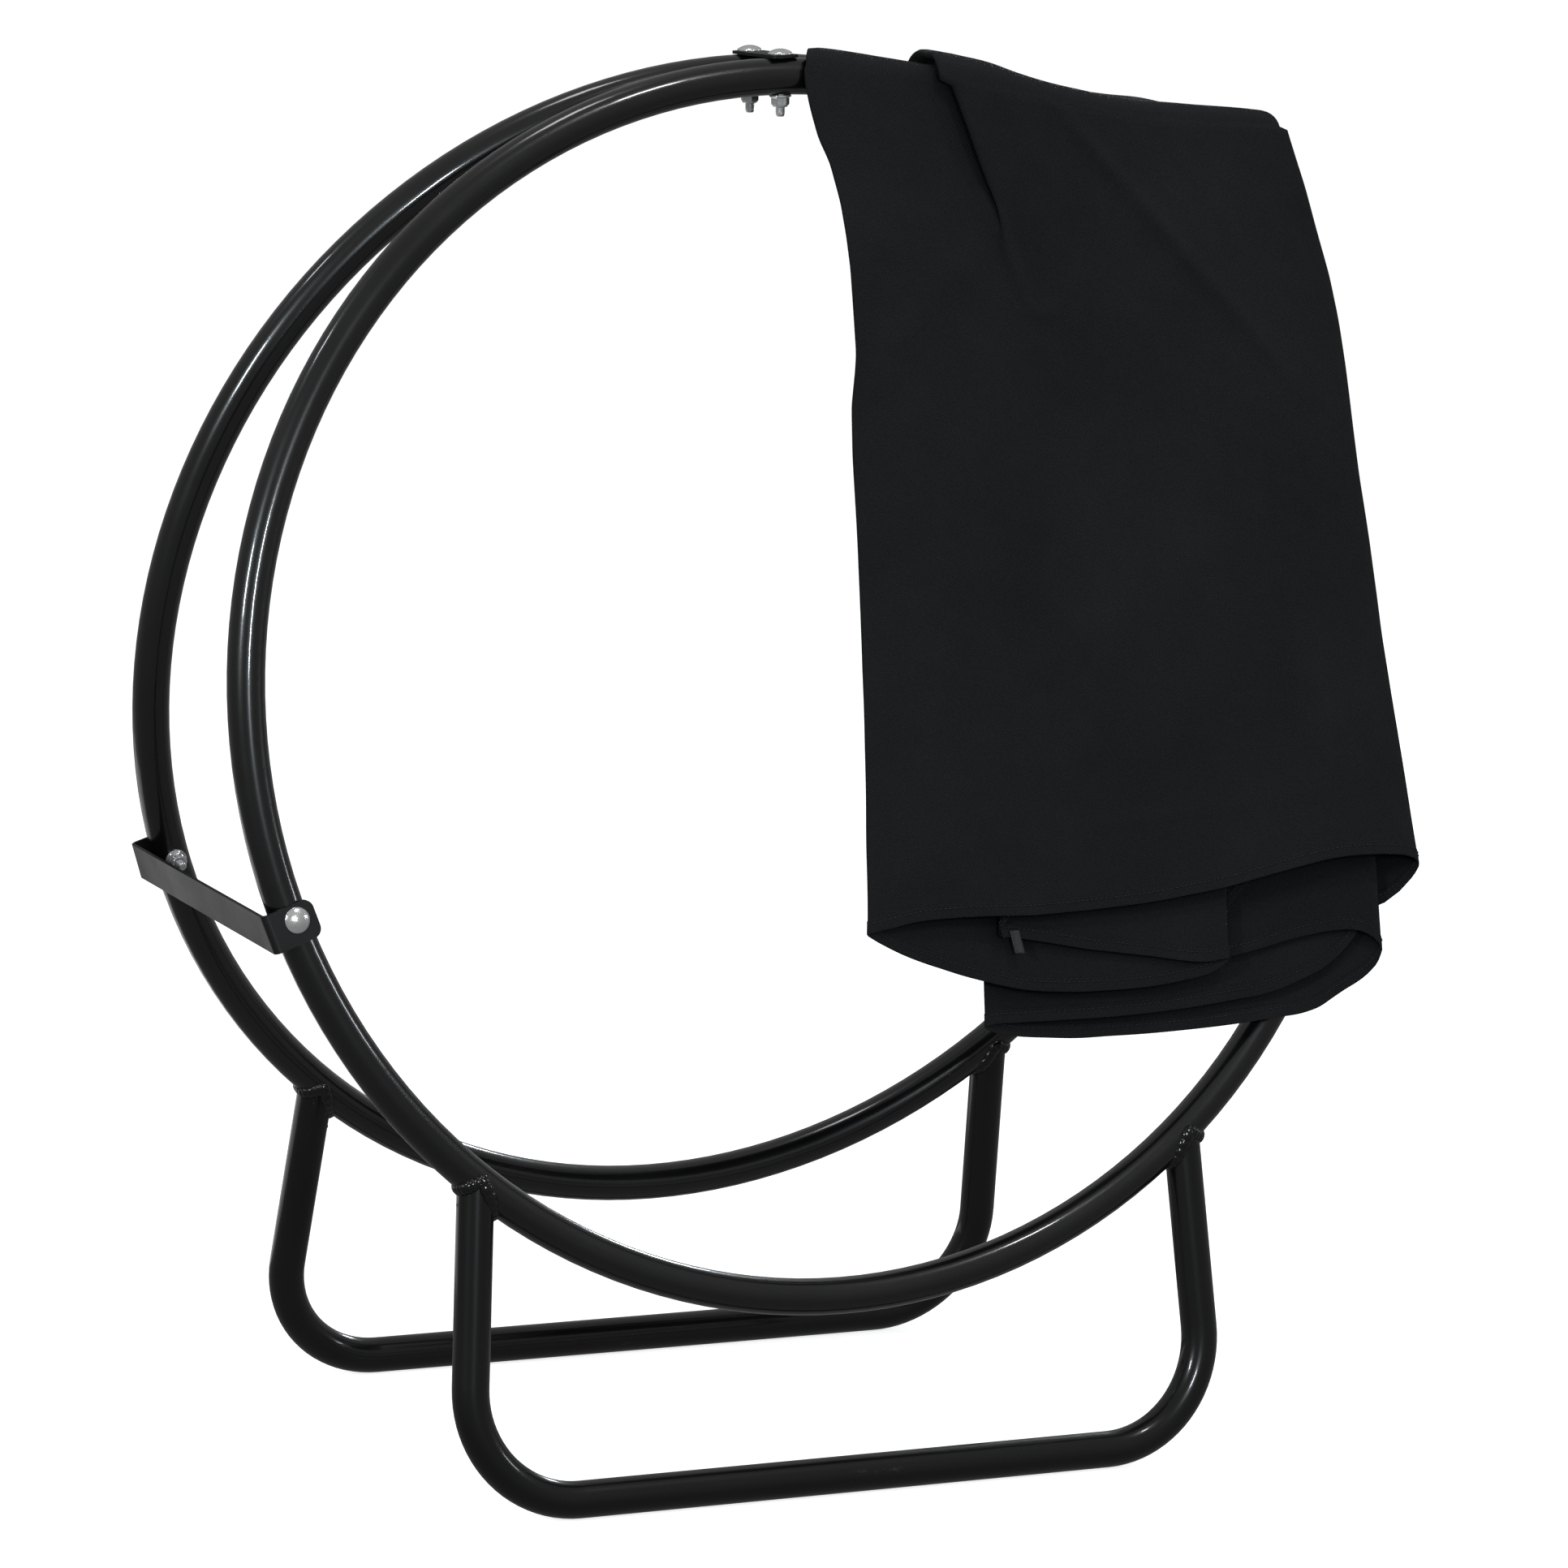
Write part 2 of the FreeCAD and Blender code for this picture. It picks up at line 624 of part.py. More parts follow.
parts = make_all()
check(parts)
os.makedirs("parts", exist_ok=True)
for part in parts:
    part.Shape.exportStep(f"parts/{part.Label}.step")
    print(f"{part.Label}: {part.Shape.Volume / 1000:.2f} cm3")
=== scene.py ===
"""Looks of the firewood log rack: two leaning tube hoops on bent feet, with a folded cover.

Metres, in the frame of the CAD model: +Z up, +X right, -Y to the front.
"""

import math

import bmesh
import bpy
import numpy as np
from mathutils import Matrix, Vector


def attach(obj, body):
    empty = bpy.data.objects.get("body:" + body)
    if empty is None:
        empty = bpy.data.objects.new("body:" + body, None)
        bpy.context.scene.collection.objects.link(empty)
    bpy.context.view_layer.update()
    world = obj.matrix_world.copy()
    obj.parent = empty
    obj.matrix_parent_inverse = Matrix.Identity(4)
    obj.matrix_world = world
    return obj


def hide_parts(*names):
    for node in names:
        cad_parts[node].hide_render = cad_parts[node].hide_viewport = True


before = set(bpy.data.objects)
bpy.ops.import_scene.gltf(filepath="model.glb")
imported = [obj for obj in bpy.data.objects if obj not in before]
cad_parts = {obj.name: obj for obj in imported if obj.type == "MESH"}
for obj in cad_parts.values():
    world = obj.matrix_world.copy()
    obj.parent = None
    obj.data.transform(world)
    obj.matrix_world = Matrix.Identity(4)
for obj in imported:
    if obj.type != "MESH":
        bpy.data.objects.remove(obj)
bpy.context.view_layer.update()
scene = bpy.context.scene
scene.view_settings.view_transform = "Standard"
MM = 0.001
random = np.random.default_rng(7)

# ---------------------------------------------------------------- camera

CAMERA_PLACE = (-2.155, -4.582, 1.457)
CAMERA_YAW, CAMERA_PITCH, CAMERA_ROLL = 0.4436, 0.1784, 0.0407
CAMERA_LENS = 142.9


def add_camera():
    camera = bpy.data.objects.new("camera", bpy.data.cameras.new("camera"))
    camera.data.lens = CAMERA_LENS
    camera.data.sensor_width = 36
    camera.data.clip_end = 100
    yaw, pitch, roll = CAMERA_YAW, CAMERA_PITCH, CAMERA_ROLL
    ahead = Vector((
        math.sin(yaw) * math.cos(pitch), math.cos(yaw) * math.cos(pitch), -math.sin(pitch)
    ))
    level = Vector((math.cos(yaw), -math.sin(yaw), 0))
    above = level.cross(ahead)
    right = level * math.cos(roll) + above * math.sin(roll)
    up = above * math.cos(roll) - level * math.sin(roll)
    turn = Matrix((right, up, -ahead)).transposed().to_4x4()
    camera.matrix_world = Matrix.Translation(CAMERA_PLACE) @ turn
    scene.collection.objects.link(camera)
    scene.camera = camera


add_camera()

# ---------------------------------------------------------------- the rack's own sizes (mm)

HOOP_RADIUS, TUBE_RADIUS = 493.0, 15.0
HOOP_HEIGHT, FOOT_SPREAD = 638.0, 222.0
LEAN = math.radians(10.2)
LEG_TOP, LEG_SPLAY = 316.0, math.radians(3.75)
SIDE_JOINT = 109.7
TOP_JOINT = {"front": -1.98, "back": 2.79}
STRIP = 2.5


def hoop_matrix(side):
    """Hoop's own frame: +X right, +Y up the lean, +Z out of the rack, seen from outside."""
    out = -(FOOT_SPREAD - HOOP_HEIGHT * math.sin(LEAN))
    up = TUBE_RADIUS + HOOP_HEIGHT * math.cos(LEAN)
    front = Matrix.Translation((0, out, up)) @ Matrix.Rotation(math.pi / 2 - LEAN, 4, "X")
    return front if side == "front" else Matrix.Rotation(math.pi, 4, "Z") @ front


def on_hoop(side, clock):
    turn = Matrix.Rotation(math.radians(90 - clock), 4, "Z")
    return hoop_matrix(side) @ turn @ Matrix.Translation((HOOP_RADIUS, 0, 0))


def clock_of(side, where):
    if where == "top":
        return TOP_JOINT[side]
    return SIDE_JOINT if (where == "right") == (side == "front") else -SIDE_JOINT


def plate_turn():
    front, back = (on_hoop(side, TOP_JOINT[side]).translation for side in ("front", "back"))
    slope = math.radians((TOP_JOINT["front"] - TOP_JOINT["back"]) / 2)
    along = (back - front).normalized()
    up = Vector((math.cos(slope), 0, -math.sin(slope))).cross(along).normalized()
    return Matrix((along.cross(up), along, up)).transposed().to_4x4()


def bolt_matrix(side, where):
    """On the tube's centreline at a bolt: +Z points to the bolt's head."""
    place = on_hoop(side, clock_of(side, where))
    if where == "top":
        return Matrix.Translation(place.translation) @ plate_turn()
    return place


# ---------------------------------------------------------------- materials

PEEL_SCALE, PEEL_DEPTH = 330.0, 0.0001  # the paint's orange peel: bumps per metre, metres deep
SCUFF_HEIGHT = 0.034  # where the scuffs of a foot have faded out, m


class Nodes:
    """A material's node tree, with short calls for the nodes used here."""

    def __init__(self, name):
        self.material = bpy.data.materials.new(name)
        self.material.use_nodes = True
        self.tree = self.material.node_tree
        self.shader = self.tree.nodes["Principled BSDF"]

    def add(self, kind, inputs=None, **settings):
        node = self.tree.nodes.new("ShaderNode" + kind)
        for key, value in settings.items():
            setattr(node, key, value)
        for key, value in (inputs or {}).items():
            if isinstance(value, bpy.types.NodeSocket):
                self.tree.links.new(value, node.inputs[key])
            else:
                node.inputs[key].default_value = value
        return node

    def shade(self, **inputs):
        for key, value in inputs.items():
            key = key.replace("_", " ")
            if isinstance(value, bpy.types.NodeSocket):
                self.tree.links.new(value, self.shader.inputs[key])
            else:
                self.shader.inputs[key].default_value = value

    def math(self, operation, a, b=None):
        inputs = {0: a} if b is None else {0: a, 1: b}
        return self.add("Math", inputs, operation=operation).outputs[0]

    def place(self):
        return self.add("TexCoord").outputs["Object"]

    def noise(self, scale, detail=3.0, roughness=0.5, vector=None):
        inputs = {"Vector": vector or self.place(), "Scale": scale, "Detail": detail}
        inputs["Roughness"] = roughness
        return self.add("TexNoise", inputs).outputs["Fac"]

    def ramp(self, value, stops):
        node = self.add("ValToRGB", {"Fac": value})
        elements = node.color_ramp.elements
        while len(elements) < len(stops):
            elements.new(0.5)
        for element, (position, colour) in zip(elements, stops):
            element.position = position
            element.color = (*colour, 1) if len(colour) == 3 else colour
        return node.outputs["Color"]

    def spread(self, value, low, high, new_low, new_high):
        inputs = {"Value": value, "From Min": low, "From Max": high}
        inputs.update({"To Min": new_low, "To Max": new_high})
        return self.add("MapRange", inputs).outputs["Result"]

    def bump(self, height, strength, distance, normal=None):
        inputs = {"Height": height, "Strength": strength, "Distance": distance}
        if normal is not None:
            inputs["Normal"] = normal
        return self.add("Bump", inputs).outputs["Normal"]

    def orange_peel(self, strength):
        return self.bump(self.noise(PEEL_SCALE, 2.0, 0.5), strength, PEEL_DEPTH)

    def painted_fold_shade(self, colour, distance, darkest):
        """The colour, darkened deep in the folds by ambient occlusion: painted shade where the
        layers above keep the light off.
        """
        open_air = self.add("AmbientOcclusion", {"Distance": distance}, samples=6).outputs["AO"]
        amount = self.spread(open_air, 0.4, 0.95, darkest, 1.0)
        return self.add("VectorMath", {0: colour, "Scale": amount}, operation="SCALE").outputs[0]


def grey(level):
    return (level, level, level)


def powder_coat(name, level, roughness, coat, peel=0.08):
    """Baked powder paint: orange peel, and a little unevenness in tone and gloss."""
    n = Nodes(name)
    cloud = n.noise(9.0, 4.0, 0.6)
    speck = n.noise(900.0, 2.0, 0.6)
    n.shade(
        Base_Color=n.ramp(cloud, [(0.3, grey(level * 0.8)), (0.75, grey(level * 1.35))]),
        Roughness=n.spread(cloud, 0.3, 0.7, roughness * 0.85, roughness * 1.2),
        Coat_Weight=coat,
        Coat_Roughness=0.08,
        Specular_IOR_Level=0.4,
    )
    n.shade(Normal=n.bump(speck, 0.1, 0.00003, n.orange_peel(peel)))
    return n.material


def scuffed_coat(name):
    """The powder coat of a tube that stands on the ground, with dull pale scuffs low down."""
    n = Nodes(name)
    cloud = n.noise(9.0, 4.0, 0.6)
    place = n.place()
    axes = n.add("SeparateXYZ", {"Vector": place})
    low = n.spread(axes.outputs["Z"], 0.0, SCUFF_HEIGHT, 1.0, 0.0)
    stretched = n.add("Mapping", {"Vector": place, "Scale": (0.35, 1.0, 1.4)}).outputs[0]
    marks = n.spread(n.noise(95.0, 5.0, 0.75, stretched), 0.60, 0.72, 0.0, 1.0)
    patches = n.spread(n.noise(7.0, 2.0, 0.5), 0.52, 0.6, 0.0, 1.0)
    worn = n.math("MULTIPLY", n.math("MULTIPLY", marks, patches), low)
    paint = n.ramp(cloud, [(0.3, grey(0.0025)), (0.75, grey(0.0045))])
    colours = {6: paint, 7: (0.11, 0.105, 0.1, 1)}  # the node's A and B for colours
    mix = n.add("Mix", {"Factor": worn, **colours}, data_type="RGBA")
    n.shade(
        Base_Color=mix.outputs[2],
        Roughness=n.spread(worn, 0.0, 1.0, 0.26, 0.6),
        Coat_Weight=0.5,
        Coat_Roughness=0.08,
        Specular_IOR_Level=0.3,
    )
    n.shade(Normal=n.orange_peel(0.1))
    return n.material


def zinc_plate(name):
    """Bright zinc: fine drawn lines, faint yellow and blue clouds, small pits."""
    n = Nodes(name)
    cloud = n.noise(160.0, 3.0, 0.55)
    lines = n.noise(2600.0, 2.0, 0.7)
    n.shade(
        Base_Color=n.ramp(
            cloud, [(0.3, (0.8, 0.82, 0.85)), (0.55, (0.92, 0.92, 0.91)), (0.8, (0.95, 0.93, 0.87))]
        ),
        Metallic=0.78,
        Roughness=n.spread(cloud, 0.3, 0.75, 0.06, 0.26),
        Normal=n.bump(lines, 0.25, 0.0002),
    )
    return n.material


def nylon(name):
    """The pale plastic ring that locks a nut."""
    n = Nodes(name)
    cloud = n.noise(300.0, 2.0, 0.5)
    n.shade(
        Base_Color=n.ramp(cloud, [(0.3, (0.35, 0.38, 0.42)), (0.7, (0.5, 0.53, 0.57))]),
        Roughness=0.45,
        Normal=n.bump(cloud, 0.1, 0.0002),
    )
    return n.material


def cover_cloth(name, level):
    """Heavy polyester twill: diagonal ribs crossed by single yarns, matte, faded in patches, with
    painted shade deep in the folds. The UV map is in metres along the cloth."""
    n = Nodes(name)
    uv = n.add("UVMap", uv_map="cloth").outputs["UV"]
    axes = n.add("SeparateXYZ", {"Vector": uv})
    across, along = axes.outputs["X"], axes.outputs["Y"]
    rib_pitch, yarn_pitch = 0.0021, 0.0011

    def wave(value, pitch):
        turned = n.math("MULTIPLY", value, 2 * math.pi / pitch)
        return n.math("SINE", turned)

    slanted = n.math("ADD", across, n.math("MULTIPLY", along, 0.75))
    wander = n.math("MULTIPLY", n.noise(220.0, 2.0, 0.5, uv), 0.0009)
    ribs = wave(n.math("ADD", slanted, wander), rib_pitch)
    yarns = wave(n.math("SUBTRACT", along, n.math("MULTIPLY", across, 0.2)), yarn_pitch)
    weave = n.math("ADD", ribs, n.math("MULTIPLY", yarns, 0.45))
    slub = n.noise(700.0, 3.0, 0.7, uv)
    weave = n.math("ADD", weave, n.math("MULTIPLY", slub, 1.2))
    patches = n.noise(5.5, 4.0, 0.6, uv)
    fuzz = n.noise(1500.0, 2.0, 0.7, uv)
    shade = n.math("ADD", n.math("MULTIPLY", patches, 0.7), n.math("MULTIPLY", fuzz, 0.3))
    shade = n.math("ADD", shade, n.math("MULTIPLY", weave, 0.05))
    low = (level * 0.72, level * 0.78, level * 0.84)
    high = (level * 1.25, level * 1.32, level * 1.4)
    # the base colour carries painted shade: darker deep in the folds and under the layers above
    n.shade(
        Base_Color=n.painted_fold_shade(n.ramp(shade, [(0.35, low), (0.75, high)]), 0.15, 0.4),
        Roughness=n.spread(weave, -1.0, 2.2, 0.92, 0.74),
        Sheen_Weight=0.03,
        Sheen_Roughness=0.45,
        Specular_IOR_Level=0.12,
    )
    creases = n.bump(n.noise(14.0, 4.0, 0.55, uv), 0.35, 0.004)
    n.shade(Normal=n.bump(weave, 0.8, 0.00035, creases))
    return n.material


def stitch_thread(name):
    """Twisted polyester thread, a shade lighter than the cloth."""
    n = Nodes(name)
    n.shade(
        Base_Color=n.ramp(n.noise(900.0, 2.0, 0.5), [(0.3, grey(0.016)), (0.7, grey(0.027))]),
        Roughness=0.6,
        Normal=n.bump(n.noise(2500.0, 1.0, 0.5), 0.3, 0.0002),
    )
    return n.material


def label_cloth(name):
    """The dark woven tape of the care label."""
    n = Nodes(name)
    n.shade(
        Base_Color=n.ramp(n.noise(600.0, 3.0, 0.6), [(0.3, grey(0.024)), (0.7, grey(0.034))]),
        Roughness=0.7,
        Normal=n.bump(n.noise(1800.0, 2.0, 0.5), 0.3, 0.0002),
    )
    return n.material


COAT = powder_coat("hoop_coat", 0.003, 0.26, 0.8)
FOOT_COAT = scuffed_coat("foot_coat")
STRIP_COAT = powder_coat("strip_coat", 0.007, 0.42, 0.0, 0.5)
WELD_COAT = powder_coat("weld_coat", 0.004, 0.16, 0.4, 1.0)
ZINC = zinc_plate("zinc")
NYLON = nylon("nylon_ring")
CLOTH = cover_cloth("cover_cloth", 0.016)
THREAD = stitch_thread("cover_thread")
LABEL = label_cloth("cover_label_cloth")


def add_mesh(name, points, faces, material, smooth=True):
    """A new object from points in millimetres."""
    mesh = bpy.data.meshes.new(name)
    mesh.from_pydata([tuple(np.array(p) * MM) for p in points], [], faces)
    mesh.validate()
    mesh.polygons.foreach_set("use_smooth", [smooth] * len(mesh.polygons))
    mesh.materials.append(material)
    piece = bpy.data.objects.new(name, mesh)
    scene.collection.objects.link(piece)
    return piece


def grid_faces(rows, columns, around=False, start=0):
    """Faces of a grid of rows of points. Around joins each row's end to its start."""
    faces = []
    last = columns if around else columns - 1
    for r in range(rows - 1):
        for c in range(last):
            d = (c + 1) % columns
            a, b = start + r * columns, start + (r + 1) * columns
            faces.append((a + c, a + d, b + d, b + c))
    return faces


def set_material(node, material):
    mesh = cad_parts[node].data
    mesh.materials.clear()
    mesh.materials.append(material)


for side in ("front", "back"):
    for tube in ("upper_left_tube", "upper_right_tube", "lower_tube"):
        set_material(f"{side}_{tube}", COAT)
    set_material(f"{side}_foot_tube", FOOT_COAT)
for strip in ("left_side_bracket", "right_side_bracket", "top_tie_plate"):
    set_material(strip, STRIP_COAT)

# ---------------------------------------------------------------- welds


def add_weld(side, where):
    """A coped leg's weld: overlapping puddles laid round the saddle where leg and hoop meet."""
    hand = 1 if (where == "right") == (side == "front") else -1
    name = f"{side}_{where}_weld_bead"
    rise = math.sqrt(HOOP_RADIUS**2 - LEG_TOP**2)
    foot_of_leg = np.array([hand * LEG_TOP, -rise, 0.0])
    down = np.array([hand * math.sin(LEG_SPLAY), -math.cos(LEG_SPLAY), 0.0])
    sideways = np.array([math.cos(LEG_SPLAY), hand * math.sin(LEG_SPLAY), 0.0])
    outward = np.array([0.0, 0.0, 1.0])

    def hoop_distance(p):
        return math.hypot(math.hypot(p[0], p[1]) - HOOP_RADIUS, p[2])

    def saddle(angle):
        """The point where the leg's surface meets the hoop's, and both outward normals."""
        out_of_leg = math.cos(angle) * sideways + math.sin(angle) * outward
        low, high = 0.0, 40.0
        for _ in range(40):
            middle = (low + high) / 2
            point = foot_of_leg + out_of_leg * TUBE_RADIUS + down * middle
            if hoop_distance(point) < TUBE_RADIUS:
                low = middle
            else:
                high = middle
        point = foot_of_leg + out_of_leg * TUBE_RADIUS + down * high
        ring = np.array([point[0], point[1], 0.0])
        centre = ring / np.linalg.norm(ring) * HOOP_RADIUS
        off_hoop = (point - centre) / TUBE_RADIUS
        return point, out_of_leg, off_hoop

    around, section, puddles = 220, 14, 26
    phase = random.uniform(0, 2 * math.pi)
    wobble = random.uniform(0, 2 * math.pi, 3)
    points = []
    for k in range(around):
        angle = 2 * math.pi * k / around
        point, leg_out, hoop_out = saddle(angle)
        bisector = leg_out + hoop_out
        bisector /= np.linalg.norm(bisector)
        run = np.cross(leg_out, hoop_out)
        run /= np.linalg.norm(run)
        cross = np.cross(run, bisector)
        beat = (puddles * angle / (2 * math.pi) + phase) % 1.0
        scale = 1 + 0.3 * math.sqrt(max(0.0, 1 - (2 * beat - 1) ** 2)) - 0.14
        scale += 0.05 * math.sin(3 * angle + wobble[0]) + 0.04 * math.sin(7 * angle + wobble[1])
        lift = 0.5 * math.sin(5 * angle + wobble[2])
        wide, tall = 4.9 * scale, 3.0 * scale
        for m in range(section):
            turn = 2 * math.pi * m / section
            offset = cross * wide * math.cos(turn) + bisector * (tall * math.sin(turn) + 0.5 + lift)
            points.append(point + offset)
    faces = grid_faces(around + 1, section, around=True)
    faces = [tuple(i % (around * section) for i in face) for face in faces]
    spatters = int(random.integers(5, 9))
    for _ in range(spatters):
        angle = random.uniform(0, 2 * math.pi)
        point, leg_out, hoop_out = saddle(angle)
        away = random.uniform(8, 16)
        centre = point + down * away - leg_out * 0.3
        size = random.uniform(0.5, 1.2)
        base = len(points)
        blob = bmesh.new()
        bmesh.ops.create_icosphere(blob, subdivisions=2, radius=size)
        points += [centre + np.array(v.co) * np.array([1, 1, 0.8]) for v in blob.verts]
        faces += [tuple(base + v.index for v in f.verts) for f in blob.faces]
        blob.free()
    matrix = np.array(hoop_matrix(side))
    points = [matrix[:3, :3] @ p + matrix[:3, 3] for p in points]
    bead = add_mesh(name, points, faces, WELD_COAT)
    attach(bead, "rack")
    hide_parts(f"{side}_{where}_weld")


for side in ("front", "back"):
    for where in ("left", "right"):
        add_weld(side, where)

# ---------------------------------------------------------------- bolts and nuts


def lathe(profile, around, start=0):
    """Points and faces of a profile of (radius, height) pairs turned about Z. A zero radius at
    either end closes it with a fan."""
    points, faces = [], []
    closed_low, closed_high = profile[0][0] == 0, profile[-1][0] == 0
    rings = profile[1 if closed_low else 0: len(profile) - (1 if closed_high else 0)]
    for radius, height in rings:
        for k in range(around):
            a = 2 * math.pi * k / around
            points.append((radius * math.cos(a), radius * math.sin(a), height))
    faces += grid_faces(len(rings), around, around=True, start=start)
    if closed_low:
        points.append((0, 0, profile[0][1]))
        hub = start + len(points) - 1
        faces += [(hub, start + (k + 1) % around, start + k) for k in range(around)]
    if closed_high:
        points.append((0, 0, profile[-1][1]))
        hub = start + len(points) - 1
        top = start + (len(rings) - 1) * around
        faces += [(hub, top + k, top + (k + 1) % around) for k in range(around)]
    return points, faces


def place_points(points, matrix, turn=0.0):
    full = matrix @ Matrix.Rotation(turn, 4, "Z")
    return [full @ Vector(p) for p in points]


def thread(radius, depth, pitch, low, high, around=28, start=0):
    """A bolt's thread as one long helical strip, closed in on itself at both ends."""
    turns = (high - low) / pitch - 1
    steps = int(turns * around)
    points, faces = [], []
    profile = ((-depth, 0.0), (-0.15, 0.36), (0.0, 0.45), (0.0, 0.55), (-0.15, 0.64), (-depth, 1.0))
    for step in range(steps + 1):
        fade = min(1.0, step / around, (steps - step) / around)
        a = 2 * math.pi * step / around
        base = low + pitch * step / around
        for out, up in profile:
            r = radius - depth + (out + depth) * fade
            points.append((r * math.cos(a), r * math.sin(a), base + up * pitch))
    faces += grid_faces(steps + 1, len(profile), start=start)
    return points, faces


HEAD_RADIUS, HEAD_HEIGHT, RIM = 10.3, 4.6, 1.2
SHANK, BOLT_LENGTH, THREAD_TOP = 3.95, 50.0, -22.6
THREAD_DEPTH, THREAD_PITCH = 0.66, 1.25
NECK = 4.05  # half the square neck's width
NUT_BORE, NUT_FLAT, FLANGE_TOP = 3.98, 6.5, 8.5  # radii
TOP_LIFT, TOP_DROP = 0.05, 0.15  # how far the plate and the nut stand off the tubes at the top


def add_bolt(side, where):
    """A carriage bolt: domed head with a rolled rim, square neck, threaded end with a chamfer."""
    name = f"{side}_{where}_carriage_bolt"
    lift = TOP_LIFT if where == "top" else 0.0
    seat = bolt_matrix(side, where) @ Matrix.Translation((0, 0, TUBE_RADIUS + lift + STRIP))
    rise = HEAD_HEIGHT - RIM
    dome = (HEAD_RADIUS**2 + rise**2) / (2 * rise)
    core = SHANK - 0.62
    profile = [(0, -BOLT_LENGTH), (2.6, -BOLT_LENGTH), (core, -BOLT_LENGTH + 0.9)]
    profile += [(core, -24.0), (SHANK - 0.1, -22.5), (SHANK - 0.1, -0.5), (SHANK, 0.0)]
    profile += [(HEAD_RADIUS - 0.5, 0.0), (HEAD_RADIUS - 0.15, 0.12), (HEAD_RADIUS, 0.45)]
    profile += [(HEAD_RADIUS, 0.9), (HEAD_RADIUS - 0.12, 1.15), (HEAD_RADIUS - 0.4, 1.4)]
    for k in range(1, 15):
        r = (HEAD_RADIUS - 0.55) * (1 - k / 15)
        profile.append((r, HEAD_HEIGHT - dome + math.sqrt(dome**2 - r**2)))
    profile.append((0, HEAD_HEIGHT))
    points, faces = lathe(profile, 64)
    more, extra = thread(
        SHANK, THREAD_DEPTH, THREAD_PITCH, -BOLT_LENGTH + 0.6, THREAD_TOP, start=len(points)
    )
    points, faces = points + more, faces + extra
    base = len(points)
    square = [(-NECK, -NECK), (NECK, -NECK), (NECK, NECK), (-NECK, NECK)]
    for height in (-STRIP, 0.0):
        points += [(x, y, height) for x, y in square]
    faces += grid_faces(2, 4, around=True, start=base)
    faces.append((base + 3, base + 2, base + 1, base))
    bolt = add_mesh(name, place_points(points, seat), faces, ZINC)
    shade_sharp(bolt, 40)
    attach(bolt, "rack")
    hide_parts(f"{side}_{where}_bolt")


def shade_sharp(piece, degrees):
    """Edges sharper than an angle stay crisp."""
    limit = math.radians(degrees)
    mesh = bmesh.new()
    mesh.from_mesh(piece.data)
    for edge in mesh.edges:
        if len(edge.link_faces) == 2 and edge.calc_face_angle(0) > limit:
            edge.smooth = False
    mesh.to_mesh(piece.data)
    mesh.free()


def add_nut(side, where):
    """A flange lock nut: serrated flange against the tube, chamfered hexagon, nylon ring."""
    drop = TOP_DROP if where == "top" else 0.0
    name = f"{side}_{where}_lock_nut"
    seat = bolt_matrix(side, where) @ Matrix.Translation((0, 0, -TUBE_RADIUS - drop))
    seat = seat @ Matrix.Rotation(math.pi, 4, "X")
    turn = random.uniform(0, math.pi / 3)
    around = 96

    def hex_radius(a):
        sector = (a + math.pi / 6) % (math.pi / 3) - math.pi / 6
        return NUT_FLAT / math.cos(sector)

    # rings of the nut: how each is shaped, its radius or its share of the hexagon, its height
    levels = (
        ("round", NUT_BORE, 0.0), ("round", 8.7, 0.0), ("serrated", 9.0, 0.35), ("round", 9.0, 0.9),
        ("round", FLANGE_TOP, 1.35), ("blend", 0.7, 1.9), ("blend", 1.0, 2.5), ("blend", 1.0, 7.0),
        ("chamfered", 7.0, 7.9), ("round", 6.35, 8.1), ("round", 6.1, 8.3), ("round", 6.0, 9.0),
        ("round", 5.6, 9.35), ("round", 4.9, 9.4),
    )
    points = []
    for kind, value, height in levels:
        for k in range(around):
            a = 2 * math.pi * k / around
            r = value
            if kind == "serrated":
                r = value - (0.35 if k % 3 == 0 else 0.0)
            elif kind == "blend":
                r = FLANGE_TOP * (1 - value) + hex_radius(a) * value
            elif kind == "chamfered":
                r = min(hex_radius(a), value)
            points.append((r * math.cos(a), r * math.sin(a), height))
    faces = grid_faces(len(levels), around, around=True)
    nut = add_mesh(name, place_points(points, seat, turn), faces, ZINC)
    ring_profile = [(4.95, 9.3), (4.6, 9.32), (4.05, 9.1)]
    ring_profile += [(NUT_BORE, height) for height in (8.6, 6.5, 0.0)]
    points, faces = lathe(ring_profile, around)
    ring = add_mesh(name + "_ring", place_points(points, seat, turn), faces, NYLON)
    shade_sharp(nut, 32)
    for piece in (nut, ring):
        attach(piece, "rack")
    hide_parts(f"{side}_{where}_nut")


for side in ("front", "back"):
    for where in ("top", "left", "right"):
        add_bolt(side, where)
        add_nut(side, where)

# ---------------------------------------------------------------- cover
# The cloth is one wide sheet folded back and forth like a curtain. Its folds are drawn once, at the
# hem, as a line seen from above: (x, distance out from the hoop's plane beyond the innermost layer,
# height of the hem up the hoop's plane). Going up, the folds flatten towards the ridge, and the
# cloth goes over both hoops and down behind the rack.

BACK_PANEL = [
    (400, 1.5, 428), (440, 1.5, 430), (475, 2, 434), (501, 3, 440), (514, 6.5, 449),
    (523, 10.5, 459),
]
RIGHT_FOLD = [(528, 16, 469), (525, 21, 474)]
FRONT_PANEL = [
    (514, 25.5, 479), (499, 28.5, 481), (479, 31, 482), (459, 33, 482), (432, 34.5, 480),
    (408, 35.5, 476), (370, 37, 469), (334, 38, 462), (295, 38.3, 456.5), (255, 38.3, 452),
    (225, 38, 450),
]
